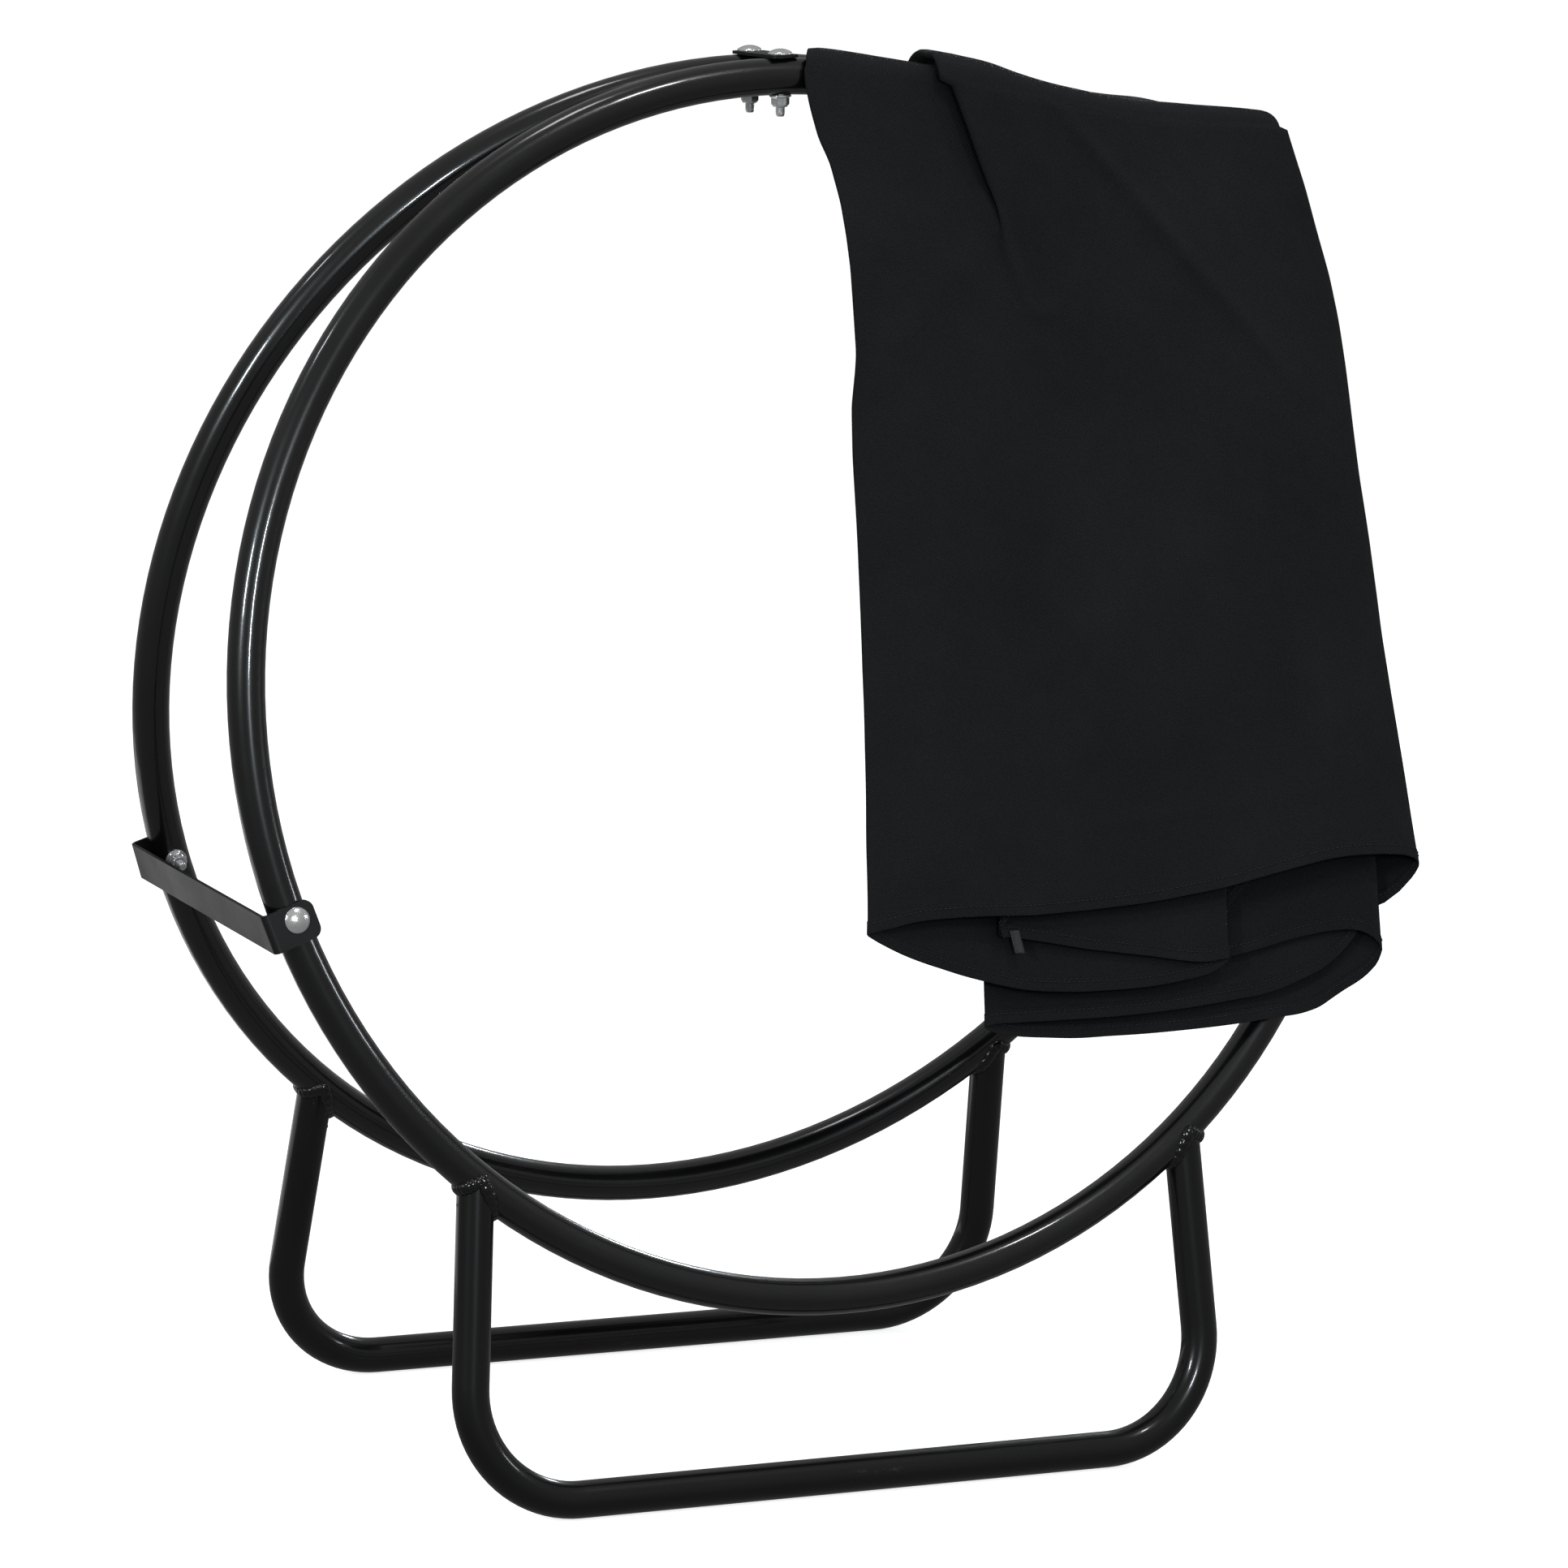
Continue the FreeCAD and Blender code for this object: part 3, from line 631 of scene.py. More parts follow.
# the pleat's bends: material x, hem height, x beyond the pleat's edge, and lift where it is folded
PLEAT = [
    (196, 448.4, 30, 11), (185, 448, 13, 12), (178.5, 447.8, 3, 11.6), (173.5, 447.6, 0, 8.8),
    (168, 447.4, 4, 5.6), (161, 447.2, 14, 4.2), (155, 447, 19.5, 2.4), (149, 447, 15, 0.8),
    (140, 447.2, 3, 0),
]
LEFT_PANEL = [
    (114, 36.5, 448), (80, 34.8, 448), (48, 32, 446), (28, 29.2, 442), (14, 26.8, 439.2),
]
SECOND_LAYER = [
    (9, 25, 437.5), (13.5, 23.7, 434.5), (25, 23.2, 428), (41, 23, 420), (58, 22.7, 413),
    (75, 22.5, 407), (94, 22.2, 400.5), (113, 22, 395), (132, 22, 390), (151, 22, 386),
    (173, 22, 383.5), (196, 22, 382), (223, 22, 381.7), (250, 22, 382), (275, 22, 383.5),
    (296, 22, 386), (312, 22.2, 388.5), (324, 22.7, 392), (334, 23.3, 397.5),
]
THIRD_LAYER = [
    (339, 24.5, 402), (333, 25.7, 402), (316, 26.2, 400.5), (292, 26.4, 403), (269, 26.6, 407),
    (236, 27, 412), (203, 27.4, 417), (178, 27.8, 422), (154, 28.2, 426.5), (135, 28.8, 430),
]
HIDDEN_FRONT = [
    (125, 30, 432), (131, 31.2, 443), (142, 31.8, 458), (165, 32.2, 472), (210, 32.2, 484),
    (280, 32, 494), (360, 31.2, 504), (420, 30, 512), (465, 28, 517), (486, 25.5, 520),
    (494, 22.5, 521), (486, 19.8, 520), (465, 18.6, 515), (420, 18.2, 500), (370, 18, 470),
    (335, 17.8, 436), (312, 17.4, 413), (302, 16.6, 405),
]
THIRD_PANEL = [
    (311, 15.8, 402.5), (326, 15.3, 402), (345, 15, 403), (363, 14.8, 406), (382, 14.6, 410),
    (400, 14.5, 414), (419, 14.3, 417), (437, 14.1, 419.2), (453, 13.8, 420), (468, 13.3, 418.5),
    (479, 12.6, 414), (487, 11.6, 407.5),
]
LOWEST_PANEL = [
    (491, 10.2, 400.5), (489, 8.2, 393), (483, 6.2, 385), (471, 4.6, 376), (458, 3.8, 369.5),
    (446, 3.4, 363), (434, 3.2, 356.5), (420, 3, 352.5), (390, 3, 349.5), (348, 3, 346),
    (305, 3, 344), (265, 3, 343), (235, 3, 343), (205, 3.2, 343), (177, 3.8, 345),
    (151, 4.8, 347.5), (135, 6, 350.5), (124.5, 7.2, 353.5),
]
INNERMOST_FOLD = [
    (119.5, 8.4, 356.5), (125, 9.6, 358.5), (146, 10.1, 359), (190, 10.5, 359), (238, 10.7, 359.3),
    (275, 10.7, 360.7), (310, 10.6, 363), (345, 10.4, 366.5), (382, 10.2, 371), (412, 10, 380),
    (438, 9.8, 391), (456, 9.6, 404), (468, 9.4, 416),
]
VISIBLE, HIDDEN = 4.8, 13.0  # distance between points along the cloth
HEM_LEFT, HEM_RIGHT = 9.0, 528.0
PLEAT_LEFT, PLEAT_RIGHT = 140.0, 196.0
PLEAT_OUT, PLEAT_SPACING = 37.4, 3.2
PLEAT_START, PLEAT_END = 30.0, 3.0  # where the pleat's right and left ends go beyond its edge
PLEAT_LIFT, LIFT_FADE = 11.0, 62.0  # the cloth to the right of the pleat stays lifted for a while



# columns of folds: the line at the hem, 1 on the front panel and 0 elsewhere, the pleat's bend, and
# the distance between samples
X, OUT, HEM, FRONT, OFFSET, LIFT, SPACING = range(7)


def plain_folds(*groups):
    return [
        (x, out, hem, front, math.nan, 0, spacing)
        for group, spacing, front in groups for x, out, hem in group
    ]


folds = plain_folds((BACK_PANEL, HIDDEN, 0), (RIGHT_FOLD, VISIBLE, 0), (FRONT_PANEL, VISIBLE, 1))
folds += [(x, PLEAT_OUT, hem, 1, offset, lift, PLEAT_SPACING) for x, hem, offset, lift in PLEAT]
folds += plain_folds(
    (LEFT_PANEL, VISIBLE, 1), (SECOND_LAYER, VISIBLE, 0), (THIRD_LAYER, VISIBLE, 0),
    (HIDDEN_FRONT, HIDDEN, 0), (THIRD_PANEL, VISIBLE, 0), (LOWEST_PANEL, VISIBLE, 0),
    (INNERMOST_FOLD, VISIBLE, 0),
)
folds = np.array(folds)


def smooth(value, low, high):
    """0 below low, 1 above high, and an even turn between them."""
    t = np.clip((value - low) / (high - low), 0, 1)
    return t * t * (3 - 2 * t)


def chain_weights(points, spacings):
    """For samples along a chain of points: the four points each depends on, and their weights, for
    a curve that passes through every point and turns evenly even where they lie unevenly."""
    gaps = np.linalg.norm(np.diff(points, axis=0), axis=1)
    ends, samples = len(points) - 1, []
    for k in range(ends):
        count = max(2 if gaps[k] < 9 else 1, round(gaps[k] / min(spacings[k], spacings[k + 1])))
        samples += [(k, j / count) for j in range(count)]
    samples.append((ends - 1, 1.0))
    index = np.zeros((len(samples), 4), int)
    weight = np.zeros((len(samples), 4))
    length = np.concatenate([[0], np.cumsum(gaps)])
    for row, (k, t) in enumerate(samples):
        span = gaps[k]
        value = {k: 2 * t**3 - 3 * t**2 + 1, k + 1: 3 * t**2 - 2 * t**3}
        for end, slope in ((k, t**3 - 2 * t**2 + t), (k + 1, t**3 - t**2)):
            slope *= span
            before, after = max(end - 1, 0), min(end + 1, ends)
            if before == end or after == end:
                step = length[after] - length[before]
                value[after] = value.get(after, 0) + slope / step
                value[before] = value.get(before, 0) - slope / step
                continue
            one, two = gaps[end - 1], gaps[end]
            total = one + two
            value[after] = value.get(after, 0) + slope * one / (two * total)
            value[before] = value.get(before, 0) - slope * two / (one * total)
            value[end] = value.get(end, 0) + slope * (two / one - one / two) / total
        for slot, (point, amount) in enumerate(value.items()):
            index[row, slot], weight[row, slot] = point, amount
    at = np.array([length[k] + t * gaps[k] for k, t in samples])
    return index, weight, at


fold_index, fold_weight, cloth_across = chain_weights(folds[:, [X, OUT]], folds[:, SPACING])
hem_height = (fold_weight * folds[fold_index][:, :, HEM]).sum(1)[:, None]
on_front = np.clip((fold_weight * folds[fold_index][:, :, FRONT]).sum(1), 0, 1)[:, None]


def along(heights, *pairs):
    """Straight lines between (height, value) pairs."""
    pairs = sorted(pairs)
    return np.interp(heights, [p[0] for p in pairs], [p[1] for p in pairs])


FRONT_ROWS, BACK_ROWS = 128, 52
RIDGE_ROUND = 16.2  # radius of the innermost layer where it bends over a hoop
EVEN_ABOVE = 1120  # height up the hoop's plane where the cloth starts to lie even
CORE_GAP = ((300, 25.0), (1160, RIDGE_ROUND))  # from the hoop's plane to the innermost layer
RIDGE_LAYERS = 0.115  # how far the layers are pressed together on the ridge
LAYERS = ((450, 1.0), (700, 0.62), (1000, 0.24), (1125, RIDGE_LAYERS))
# at the front of the ridge: x of the cloth's left edge, its right edge and the pleat's edge, and
# how far each moves on the way over it
RIDGE_LEFT, RIDGE_RIGHT, RIDGE_PLEAT = -3.0, 433.0, 112.0
LEFT_SHIFT, RIGHT_SHIFT, PLEAT_SHIFT = 49.0, -36.0, 18.0
# the edges on the way up: (height up the hoop's plane, x)
LEFT_EDGE = (
    (437, 9), (560, 14), (667, 18.5), (745, 19.5), (824, 19.5), (862, 21), (892, 26), (905, 27.5),
    (941, 27), (974, 26.5), (1000, 24.5), (1027, 21), (1059, 13.5), (1079, 4.5), (1104, -1.5),
    (1125, -5), (1137, -4.5), (1150, -3),
)
RIGHT_EDGE = (
    (472, 529), (520, 524), (584, 516), (620, 510.5), (666, 505), (741, 498), (795, 491),
    (843, 486), (891, 482), (930, 478), (966, 472), (1005, 462), (1040, 453.5), (1066, 445.5),
    (1095, 437), (1150, 433),
)
PLEAT_EDGE = (
    (900, 203), (945, 187), (966, 177), (982, 167), (1020, 157), (1040, 149), (1088, 134),
    (1114, 125), (1138, 115),
)
# the top of the ridge: (x, height)
RIDGE = (
    (-10, 1149), (45, 1144.5), (89, 1138), (114, 1134.2), (166, 1128), (200, 1123.5), (229, 1119),
    (270, 1112), (309, 1107.5), (360, 1104.5), (400, 1103.5), (420, 1102.5), (445, 1101),
)
BACK_LEFT_EDGE = ((690, 176), (800, 148), (950, 106), (1080, 68), (1150, 47))
BACK_END = 704.0  # height of the hem behind the rack


def level(curve, values, blur=9.0):
    """A curve through points with its corners rounded off."""
    steps = np.linspace(-1.5, 1.5, 7) * blur
    kernel = np.exp(-((steps / blur) ** 2))
    total = sum(w * along(values + s, *curve) for s, w in zip(steps, kernel))
    return total / kernel.sum()


def cloth_line(left, right, layers, pleat, edge):
    """(x, out) of every sample across the cloth, for rows with the given edges and folds. The
    arguments have one row per sample and one column per row of the cloth."""
    x_sum, out_sum = 0, 0
    for slot in range(4):
        point = folds[fold_index[:, slot]]
        columns = (X, OUT, FRONT, OFFSET, LIFT)
        x0, out0, front, offset, lift = (point[:, c][:, None] for c in columns)
        plain = left + (x0 - HEM_LEFT) / (HEM_RIGHT - HEM_LEFT) * (right - left)
        start, end = edge + PLEAT_START, edge + PLEAT_END
        to_right = start + (x0 - PLEAT_RIGHT) / (HEM_RIGHT - PLEAT_RIGHT) * (right - start)
        to_left = left + (x0 - HEM_LEFT) / (PLEAT_LEFT - HEM_LEFT) * (end - left)
        pleated = np.where(x0 > PLEAT_RIGHT, to_right, to_left)
        pleated = np.where(np.isnan(offset), pleated, edge + np.nan_to_num(offset))
        pleated = np.where(front > 0, pleated, plain)
        fade = PLEAT_LIFT * np.exp(-(((x0 - PLEAT_RIGHT) / LIFT_FADE) ** 2))
        tail = np.where((front > 0) & (x0 > PLEAT_RIGHT), fade, 0)
        x = plain + (pleated - plain) * pleat
        out = out0 * layers + (lift + tail) * pleat
        weight = fold_weight[:, slot][:, None]
        x_sum, out_sum = x_sum + weight * x, out_sum + weight * out
    return x_sum, out_sum


def crease(x, y, points, width, height):
    """A soft crease of the cloth along a chain of points, fading at both ends."""
    total = np.zeros_like(x)
    best = np.full_like(x, 1e9)
    lengths = [math.dist(a, b) for a, b in zip(points, points[1:])]
    whole, done = sum(lengths), 0.0
    for (a, b), span in zip(zip(points, points[1:]), lengths):
        dx, dy = (b[0] - a[0]) / span, (b[1] - a[1]) / span
        t = np.clip((x - a[0]) * dx + (y - a[1]) * dy, 0, span)
        off = np.hypot(x - a[0] - t * dx, y - a[1] - t * dy)
        share = (done + t) / whole
        ends = np.sqrt(np.clip(4 * share * (1 - share), 0, 1))
        total = np.where(off < best, height * np.exp(-((off / width) ** 2)) * ends, total)
        best = np.minimum(best, off)
        done += span
    return total


def waves(x, y, seed, count, shortest, longest):
    """Gentle unevenness: a sum of waves of random directions, about -1 to 1."""
    source = np.random.default_rng(seed)
    total = np.zeros_like(x)
    for _ in range(count):
        length = source.uniform(shortest, longest)
        turn, phase = source.uniform(0, math.pi), source.uniform(0, 2 * math.pi)
        travelled = x * math.cos(turn) + y * math.sin(turn)
        total = total + np.sin(2 * math.pi / length * travelled + phase)
    return total / math.sqrt(count) / 1.4


# soft creases of the front panel: points (x, height up the hoop's plane), width, height
CREASES = (
    (((148, 1040), (157, 1020), (167, 984), (180, 955)), 6, 3.2),
    (
        ((172, 968), (186, 941), (199, 934), (215, 944), (234, 970), (250, 1010), (252, 1044)),
        6.5, 3.4,
    ),
    (((205, 1120), (259, 1064), (302, 1016), (338, 975), (374, 937), (425, 876)), 8, 3.8),
    (((60, 905), (100, 950), (150, 992)), 13, 3.0),
    (((25, 860), (60, 900), (120, 985)), 12, 1.2),
    (((270, 1050), (330, 1000), (420, 905)), 22, 1.6),
    (((40, 1120), (52, 1060), (60, 980)), 12, 1.8),
    (((182, 514), (314, 526), (441, 540)), 6, 1.0),
    (((118, 450), (122, 560), (130, 700)), 11, 1.5),
    (((96, 450), (100, 520), (112, 640)), 9, -1.0),
    (((300, 452), (290, 560), (300, 680)), 26, 1.6),
    (((430, 480), (425, 600), (405, 760)), 22, 1.5),
    (((170, 720), (250, 640), (330, 600)), 24, 1.2),
)


def column(value):
    """The same value for every sample across the cloth."""
    return np.full_like(on_front, value)


def along_hoop(side, x, height, out):
    """Points of cloth that hangs along a hoop. Side is -1 for the front and 1 for the back, and
    out is the distance beyond the innermost layer."""
    away = along(height, *CORE_GAP) + out
    y = side * (FOOT_SPREAD - height * math.sin(LEAN) + away * math.cos(LEAN))
    z = height * math.cos(LEAN) + TUBE_RADIUS + away * math.sin(LEAN)
    return np.stack([x, y, z], axis=-1)


def front_rows(top):
    """Rows from the hem up to where the bend over the ridge starts."""
    height = hem_height + (top - hem_height) * np.linspace(0, 1, FRONT_ROWS)
    x, out = cloth_line(
        level(LEFT_EDGE, height, 5), level(RIGHT_EDGE, height), along(height, *LAYERS),
        smooth(height, 950, 1085), level(PLEAT_EDGE, height),
    )
    # slow unevenness that all layers share
    out = out + smooth(EVEN_ABOVE - height, 0, 260) * (3.0 + 2.6 * waves(x, height, 3, 7, 230, 620))
    # creases and small waves of the front panel, weaker at its hem
    face = np.zeros_like(x)
    for points, width, size in CREASES:
        face = face + crease(x, height, points, width, size)
    face = face + (0.8 * waves(x, height, 5, 9, 70, 190) + 0.28 * waves(x, height, 8, 10, 22, 60))
    face = face * smooth(1140 - height, 0, 60) * (0.35 + 0.65 * smooth(height, 437, 520))
    out = out + on_front * face
    # small waves of the layers under it
    inner = (1 - on_front) * 0.5 * waves(x + 2 * out, height, 11, 8, 60, 150)
    out = out + inner * smooth(height, 330, 420) * smooth(1100 - height, 0, 300)
    return along_hoop(-1, x, height, out)


def ridge_rows(progress, turn, y_share):
    """Rows round the ridge. Turn is the angle of the cloth's normal above the horizontal, and
    y_share is 0 at the front bend's centre and 1 at the back one's."""
    left = column(RIDGE_LEFT) + LEFT_SHIFT * smooth(progress, 0, 1)
    right = column(RIDGE_RIGHT) + RIGHT_SHIFT * smooth(progress, 0, 0.85)
    edge = column(RIDGE_PLEAT) + PLEAT_SHIFT * smooth(progress, 0.1, 0.8)
    x, out = cloth_line(left, right, np.full_like(left, RIDGE_LAYERS), np.ones_like(left), edge)
    out = out + 0.35 * on_front * waves(x, 60 * progress, 21, 6, 40, 120)
    middle = level(RIDGE, x) - RIDGE_ROUND
    reach = RIDGE_ROUND + out
    half = FOOT_SPREAD - (middle - TUBE_RADIUS) / math.cos(LEAN) * math.sin(LEAN)
    y = half * (2 * y_share - 1) - np.cos(turn) * reach
    z = middle + np.sin(turn) * reach
    sag = 2.5 * (y_share * (1 - y_share) * 4) * smooth(x, 60, 260)
    drop = 13.0 * smooth(progress, 0.2, 0.8) * smooth(x, 330, 433)
    return np.stack([x, y, z - sag - drop], axis=-1)


def back_rows(top):
    """Rows from the ridge down to the end behind the rack, with the layers closer together."""
    end = BACK_END + 5.6 * np.sin(cloth_across / 170.0)[:, None]
    height = top + (end - top) * np.linspace(0, 1, BACK_ROWS + 1)[1:]
    loose = smooth(1125 - height, 0, 200)
    layers = RIDGE_LAYERS + (along(height, *LAYERS) * 0.6 - RIDGE_LAYERS) * loose
    right = level(RIGHT_EDGE, height) + RIGHT_SHIFT * smooth(height, 850, 1095)
    x, out = cloth_line(
        level(BACK_LEFT_EDGE, height), right, layers, smooth(height, 1010, 1110),
        level(PLEAT_EDGE, height),
    )
    low = smooth(EVEN_ABOVE - height, 0, 260)
    out = out + low * (2.5 + 2.2 * waves(x, height, 33, 7, 200, 500))
    face = 0.9 * waves(x, height, 35, 9, 70, 190) + 0.3 * waves(x, height, 38, 10, 22, 60)
    return along_hoop(1, x, height, out + on_front * face * low)


def cloth_grid():
    """Points of the whole cloth in millimetres, one line per sample across and one column per row
    from the hem over the ridge to the end behind the rack."""
    x, _ = cloth_line(
        column(RIDGE_LEFT), column(RIDGE_RIGHT), column(RIDGE_LAYERS), column(1.0),
        column(RIDGE_PLEAT),
    )
    top = (level(RIDGE, x) - RIDGE_ROUND - TUBE_RADIUS) / math.cos(LEAN)  # height of the tangent
    bend, flat = np.linspace(0, 1, 9)[1:], np.linspace(0, 1, 7)[1:]
    upright = math.pi / 2
    turn = (upright - LEAN) * bend
    return np.concatenate([
        front_rows(top),
        ridge_rows(0.3 * bend, LEAN + turn, 0 * bend),
        ridge_rows(0.3 + 0.4 * flat, np.full(len(flat), upright), flat),
        ridge_rows(0.7 + 0.3 * bend, upright + turn, 0 * bend + 1),
        back_rows(top),
    ], axis=1)


grid = cloth_grid()
SAMPLES, ROWS = grid.shape[:2]
step_up = np.linalg.norm(np.diff(grid, axis=1), axis=2)
cloth_up = np.concatenate([np.zeros((SAMPLES, 1)), np.cumsum(step_up, axis=1)], axis=1)


def map_cloth(piece, across, up):
    """A UV map that is in metres along the cloth, from each point's millimetres."""
    layer = piece.data.uv_layers.new(name="cloth")
    flat = np.stack([across, up], axis=1) * MM
    corners = np.zeros(len(piece.data.loops), int)
    piece.data.loops.foreach_get("vertex_index", corners)
    layer.data.foreach_set("uv", flat[corners].ravel())


def add_cover():
    faces = grid_faces(SAMPLES, ROWS)
    cover = add_mesh("folded_cover", grid.reshape(-1, 3), faces, CLOTH)
    map_cloth(cover, np.repeat(cloth_across, ROWS), cloth_up.ravel())
    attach(cover, "cover")
    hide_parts("weather_cover")
    return cover


def edge_frame(row, inward):
    """Along one end of the cloth: its points, the direction into the cloth and the normal."""
    edge = grid[:, row]
    into = grid[:, row + inward * 2] - edge
    into /= np.linalg.norm(into, axis=1)[:, None]
    run = np.gradient(edge, axis=0)
    normal = np.cross(run, into)
    normal /= np.linalg.norm(normal, axis=1)[:, None]
    return edge, into, normal


def add_hem(name, row, inward):
    """The doubled and turned edge: a flat band round the cloth's end, thicker than the cloth."""
    edge, into, normal = edge_frame(row, inward)
    profile = (
        (11.4, 0.05), (11.2, 0.4), (10.7, 0.55), (8.6, 0.55), (8.0, 0.42), (7.4, 0.55), (1.1, 0.6),
        (0.3, 0.5), (0.0, 0.3), (-0.15, 0.0),
    )
    profile += tuple((up, -out) for up, out in profile[-2::-1])
    points = []
    ripple = 1 + 0.12 * np.sin(cloth_across / 4.2) * np.sin(cloth_across / 31.0)
    for k in range(SAMPLES):
        for up, out in profile:
            points.append(edge[k] + into[k] * up + normal[k] * out * ripple[k])
    size = len(profile)
    faces = grid_faces(SAMPLES, size, around=True)
    faces += [tuple(range(size))[::-1], tuple(range((SAMPLES - 1) * size, SAMPLES * size))]
    hem = add_mesh(name, points, faces, CLOTH)
    ups = np.array([p[0] for p in profile])
    map_cloth(hem, np.repeat(cloth_across, size), np.tile(ups, SAMPLES))
    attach(hem, "cover")
    return hem


STITCH_HEIGHT, STITCH_PITCH, STITCH_LENGTH = 8.0, 4.4, 3.3
STITCH_MARGIN = 4.0  # from the hem's ends to the first and last stitch


def add_stitches(name, row, inward):
    """Topstitching: short rounded stitches laid on both faces of the hem."""
    edge, into, normal = edge_frame(row, inward)
    travelled = np.concatenate([[0], np.cumsum(np.linalg.norm(np.diff(edge, axis=0), axis=1))])

    def at(where, data):
        return np.array([np.interp(where, travelled, data[:, c]) for c in range(3)])

    points, faces, sides = [], [], 6
    # a stitch's rings: how far along it, radius
    rings = ((0.0, 0.12), (0.18, 0.3), (0.5, 0.36), (0.82, 0.3), (1.0, 0.12))
    where = STITCH_MARGIN
    while where + STITCH_LENGTH < travelled[-1] - STITCH_MARGIN:
        for face in (1, -1):
            base = len(points)
            for share, radius in rings:
                spot = where + STITCH_LENGTH * share
                out, up = at(spot, normal), at(spot, into)
                out, up = out / np.linalg.norm(out), up / np.linalg.norm(up)
                bow = 0.75 + 0.3 * math.sin(math.pi * share)
                centre = at(spot, edge) + up * STITCH_HEIGHT + out * face * bow
                for k in range(sides):
                    a = 2 * math.pi / sides * k
                    points.append(centre + radius * (math.cos(a) * out + math.sin(a) * up))
            faces += grid_faces(len(rings), sides, around=True, start=base)
            end = base + (len(rings) - 1) * sides
            faces.append(tuple(base + k for k in range(sides))[::-1])
            faces.append(tuple(end + k for k in range(sides)))
        where += STITCH_PITCH
    piece = add_mesh(name, points, faces, THREAD)
    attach(piece, "cover")
    return piece


LABEL_X, LABEL_OUT = 139.0, 28.6  # where on the third layer it is sewn in
LABEL_WIDTH, LABEL_LENGTH, LABEL_TOP = 9.0, 19.0, 6.0  # the top is this far up from the hem's edge


def add_label():
    """A plain woven care label sewn into the hem of the third layer."""
    edge, into, normal = edge_frame(0, 1)
    wanted = min(range(SAMPLES), key=lambda k: abs(edge[k][0] - LABEL_X) + 3 * abs(
        (fold_weight[k] * folds[fold_index[k]][:, OUT]).sum() - LABEL_OUT
    ))
    corner, up, out = edge[wanted], into[wanted], normal[wanted]
    run = np.cross(up, out)
    toward = -1 if out[1] > 0 else 1
    points, columns, rows = [], 9, 12
    for r in range(rows):
        for c in range(columns):
            across = (c / (columns - 1) - 0.5) * LABEL_WIDTH
            rise = LABEL_TOP - LABEL_LENGTH * r / (rows - 1)
            curl = 1.3 + 1.6 * (r / (rows - 1)) ** 2 + 0.5 * math.sin(c * 0.9)
            points.append(corner + run * (across + 0.2 * rise) + up * rise + out * toward * curl)
    label = add_mesh("cover_label", points, grid_faces(rows, columns), LABEL)
    thick = label.modifiers.new("thick", "SOLIDIFY")
    thick.thickness = 0.0004
    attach(label, "cover")
    return label


cover = add_cover()
hem = add_hem("cover_hem", 0, 1)
back_hem = add_hem("cover_back_hem", ROWS - 1, -1)
stitches = add_stitches("cover_stitches", 0, 1)
back_stitches = add_stitches("cover_back_stitches", ROWS - 1, -1)
label = add_label()

# ---------------------------------------------------------------- stage and light


FLOOR_SIZE, FLOOR_DROP = 40.0, 0.0008  # metres each way, and just below the feet


def add_floor():
    signs = ((-1, -1), (1, -1), (1, 1), (-1, 1))
    corners = [(x * FLOOR_SIZE, y * FLOOR_SIZE, -FLOOR_DROP) for x, y in signs]
    mesh = bpy.data.meshes.new("floor")
    mesh.from_pydata(corners, [], [(0, 1, 2, 3)])
    n = Nodes("floor_paper")
    cloud = n.noise(3.0, 2.0, 0.5)
    n.shade(
        Base_Color=n.ramp(cloud, [(0.3, grey(0.86)), (0.7, grey(0.88))]),
        Roughness=0.9,
        Specular_IOR_Level=0.0,
        Emission_Color=(1, 1, 1, 1),
        Emission_Strength=0.8,
    )
    mesh.materials.append(n.material)
    floor = bpy.data.objects.new("floor", mesh)
    floor.visible_glossy = False
    floor.visible_diffuse = False
    scene.collection.objects.link(floor)


def add_light(name, place, target, width, height, power, colour=(1, 1, 1)):
    data = bpy.data.lights.new(name, "AREA")
    data.shape = "RECTANGLE"
    data.size, data.size_y = width, height
    data.energy = power
    data.color = colour
    light = bpy.data.objects.new(name, data)
    light.location = place
    light.visible_camera = False
    light.rotation_euler = (Vector(target) - Vector(place)).to_track_quat("-Z", "Y").to_euler()
    scene.collection.objects.link(light)


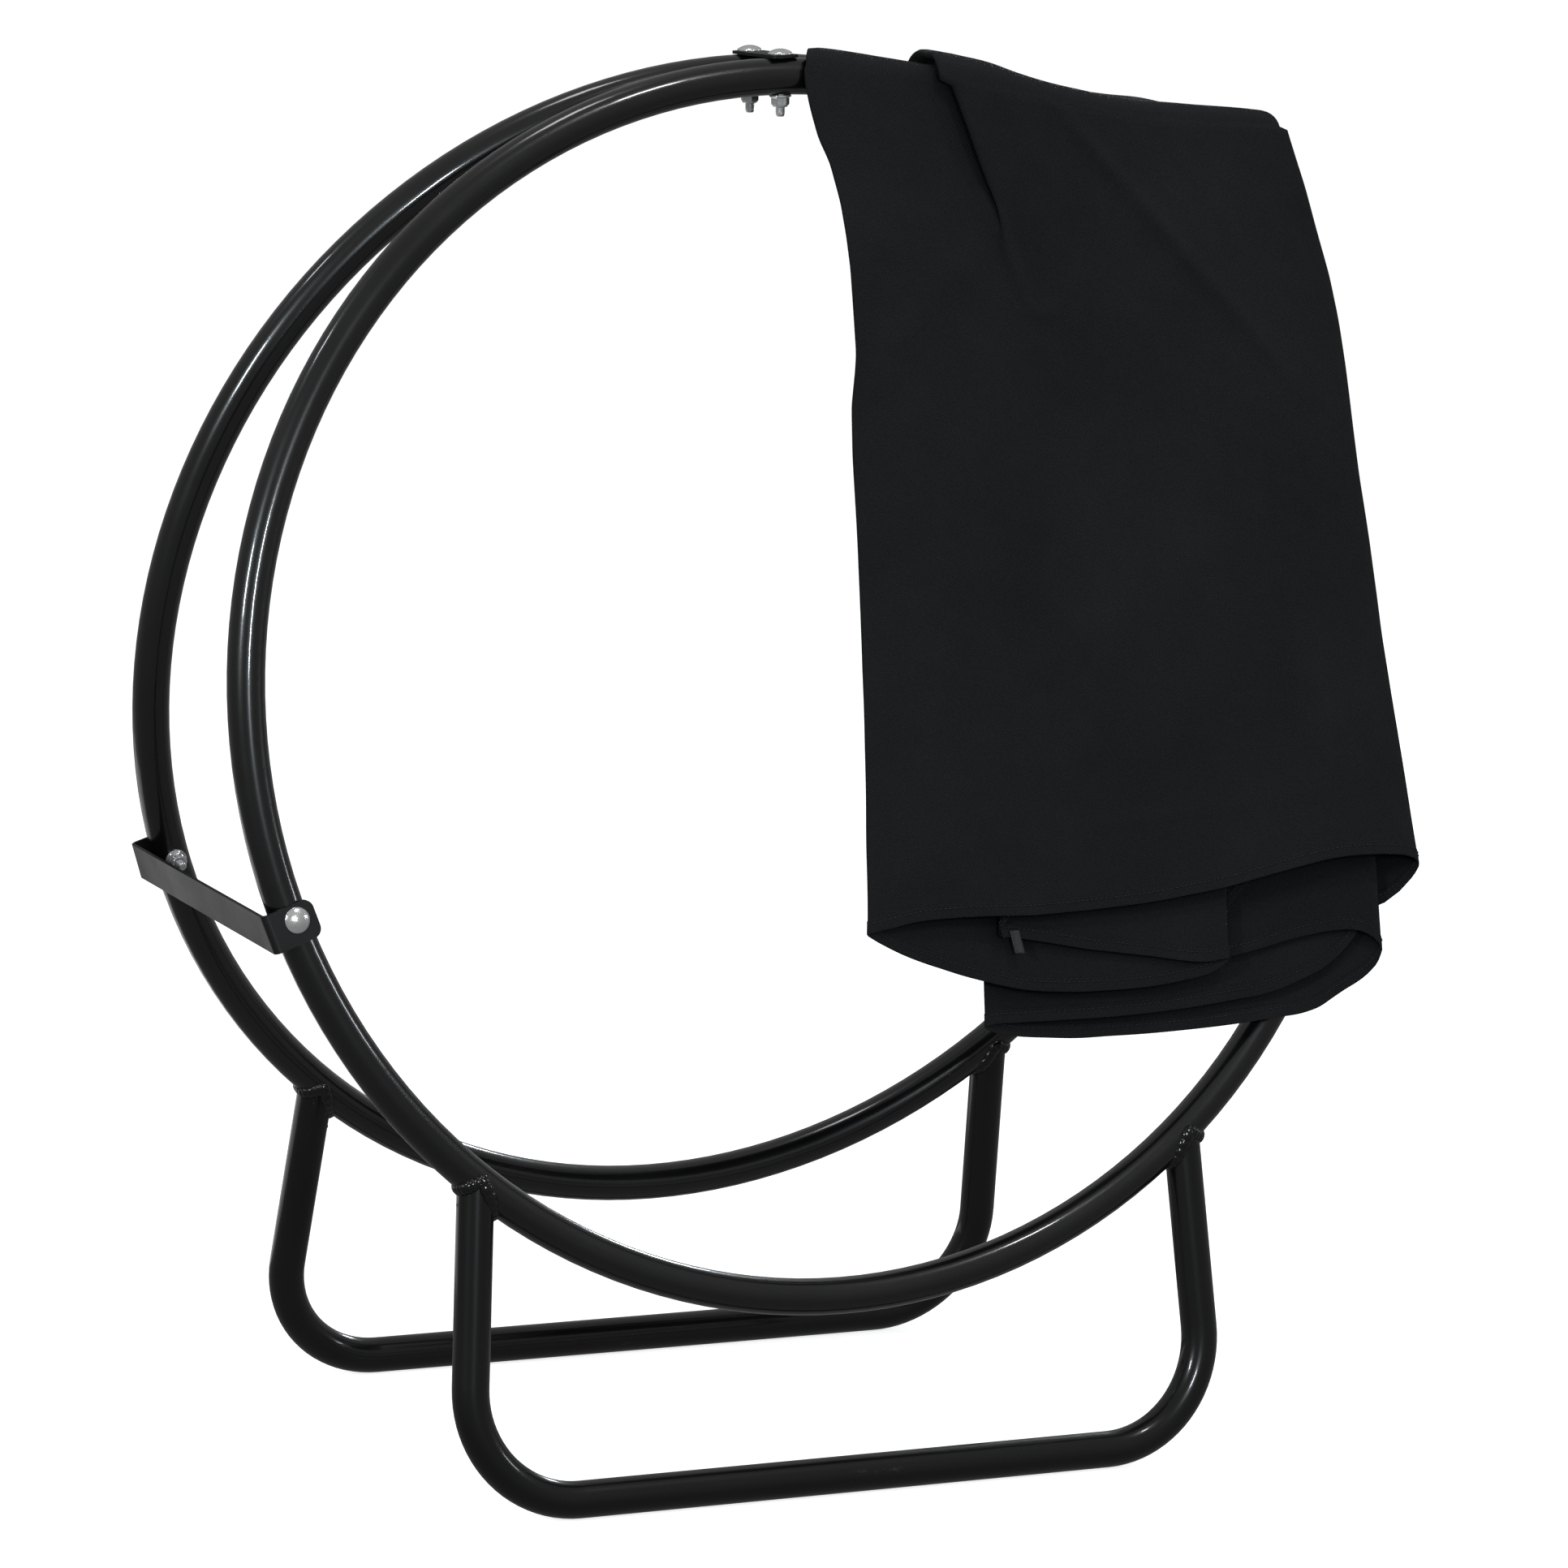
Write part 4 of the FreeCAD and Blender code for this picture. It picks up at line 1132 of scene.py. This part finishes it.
def add_world():
    """White to the eye, but a dim room to everything lit or mirrored, darker below than above."""
    world = bpy.data.worlds.new("studio")
    world.use_nodes = True
    nodes, links = world.node_tree.nodes, world.node_tree.links
    room, paper = nodes["Background"], nodes.new("ShaderNodeBackground")
    for shader in (room, paper):
        shader.inputs["Color"].default_value = (1, 1, 1, 1)
    paper.inputs["Strength"].default_value = 1.05
    place, axes = nodes.new("ShaderNodeTexCoord"), nodes.new("ShaderNodeSeparateXYZ")
    fade = nodes.new("ShaderNodeMapRange")
    for key, value in zip(("From Min", "From Max", "To Min", "To Max"), (-0.4, 0.6, 0.15, 0.27)):
        fade.inputs[key].default_value = value
    links.new(place.outputs["Generated"], axes.inputs[0])
    links.new(axes.outputs["Z"], fade.inputs["Value"])
    links.new(fade.outputs["Result"], room.inputs["Strength"])
    seen, mix = nodes.new("ShaderNodeLightPath"), nodes.new("ShaderNodeMixShader")
    links.new(seen.outputs["Is Camera Ray"], mix.inputs[0])
    links.new(room.outputs[0], mix.inputs[1])
    links.new(paper.outputs[0], mix.inputs[2])
    links.new(mix.outputs[0], nodes["World Output"].inputs["Surface"])
    scene.world = world


add_world()
add_floor()
TARGET = (0.0, 0.0, 0.6)
COOL = (0.86, 0.95, 1.0)
add_light("key_left", (-4.35, -2.35, 2.35), TARGET, 0.24, 0.7, 72, COOL)
add_light("key_front", (-0.75, -4.9, 2.05), TARGET, 0.19, 0.75, 58, COOL)
add_light("high_front", (0.7, -2.0, 4.4), TARGET, 0.4, 0.4, 22)
add_light("top", (-0.3, 0.4, 4.2), TARGET, 0.6, 0.5, 8)
add_light("rim_left", (-2.7, 0.9, 3.3), (-0.3, 0, 0.8), 0.3, 0.3, 5, COOL)
add_light("side_right", (3.4, -1.7, 1.6), TARGET, 0.25, 0.6, 9, COOL)
add_light("back_right", (3.0, 3.4, 2.1), TARGET, 0.3, 0.7, 30, COOL)
add_light("floor_bounce", (-0.7, 1.35, 0.01), (-0.7, 1.35, 1.0), 1.4, 1.5, 4)
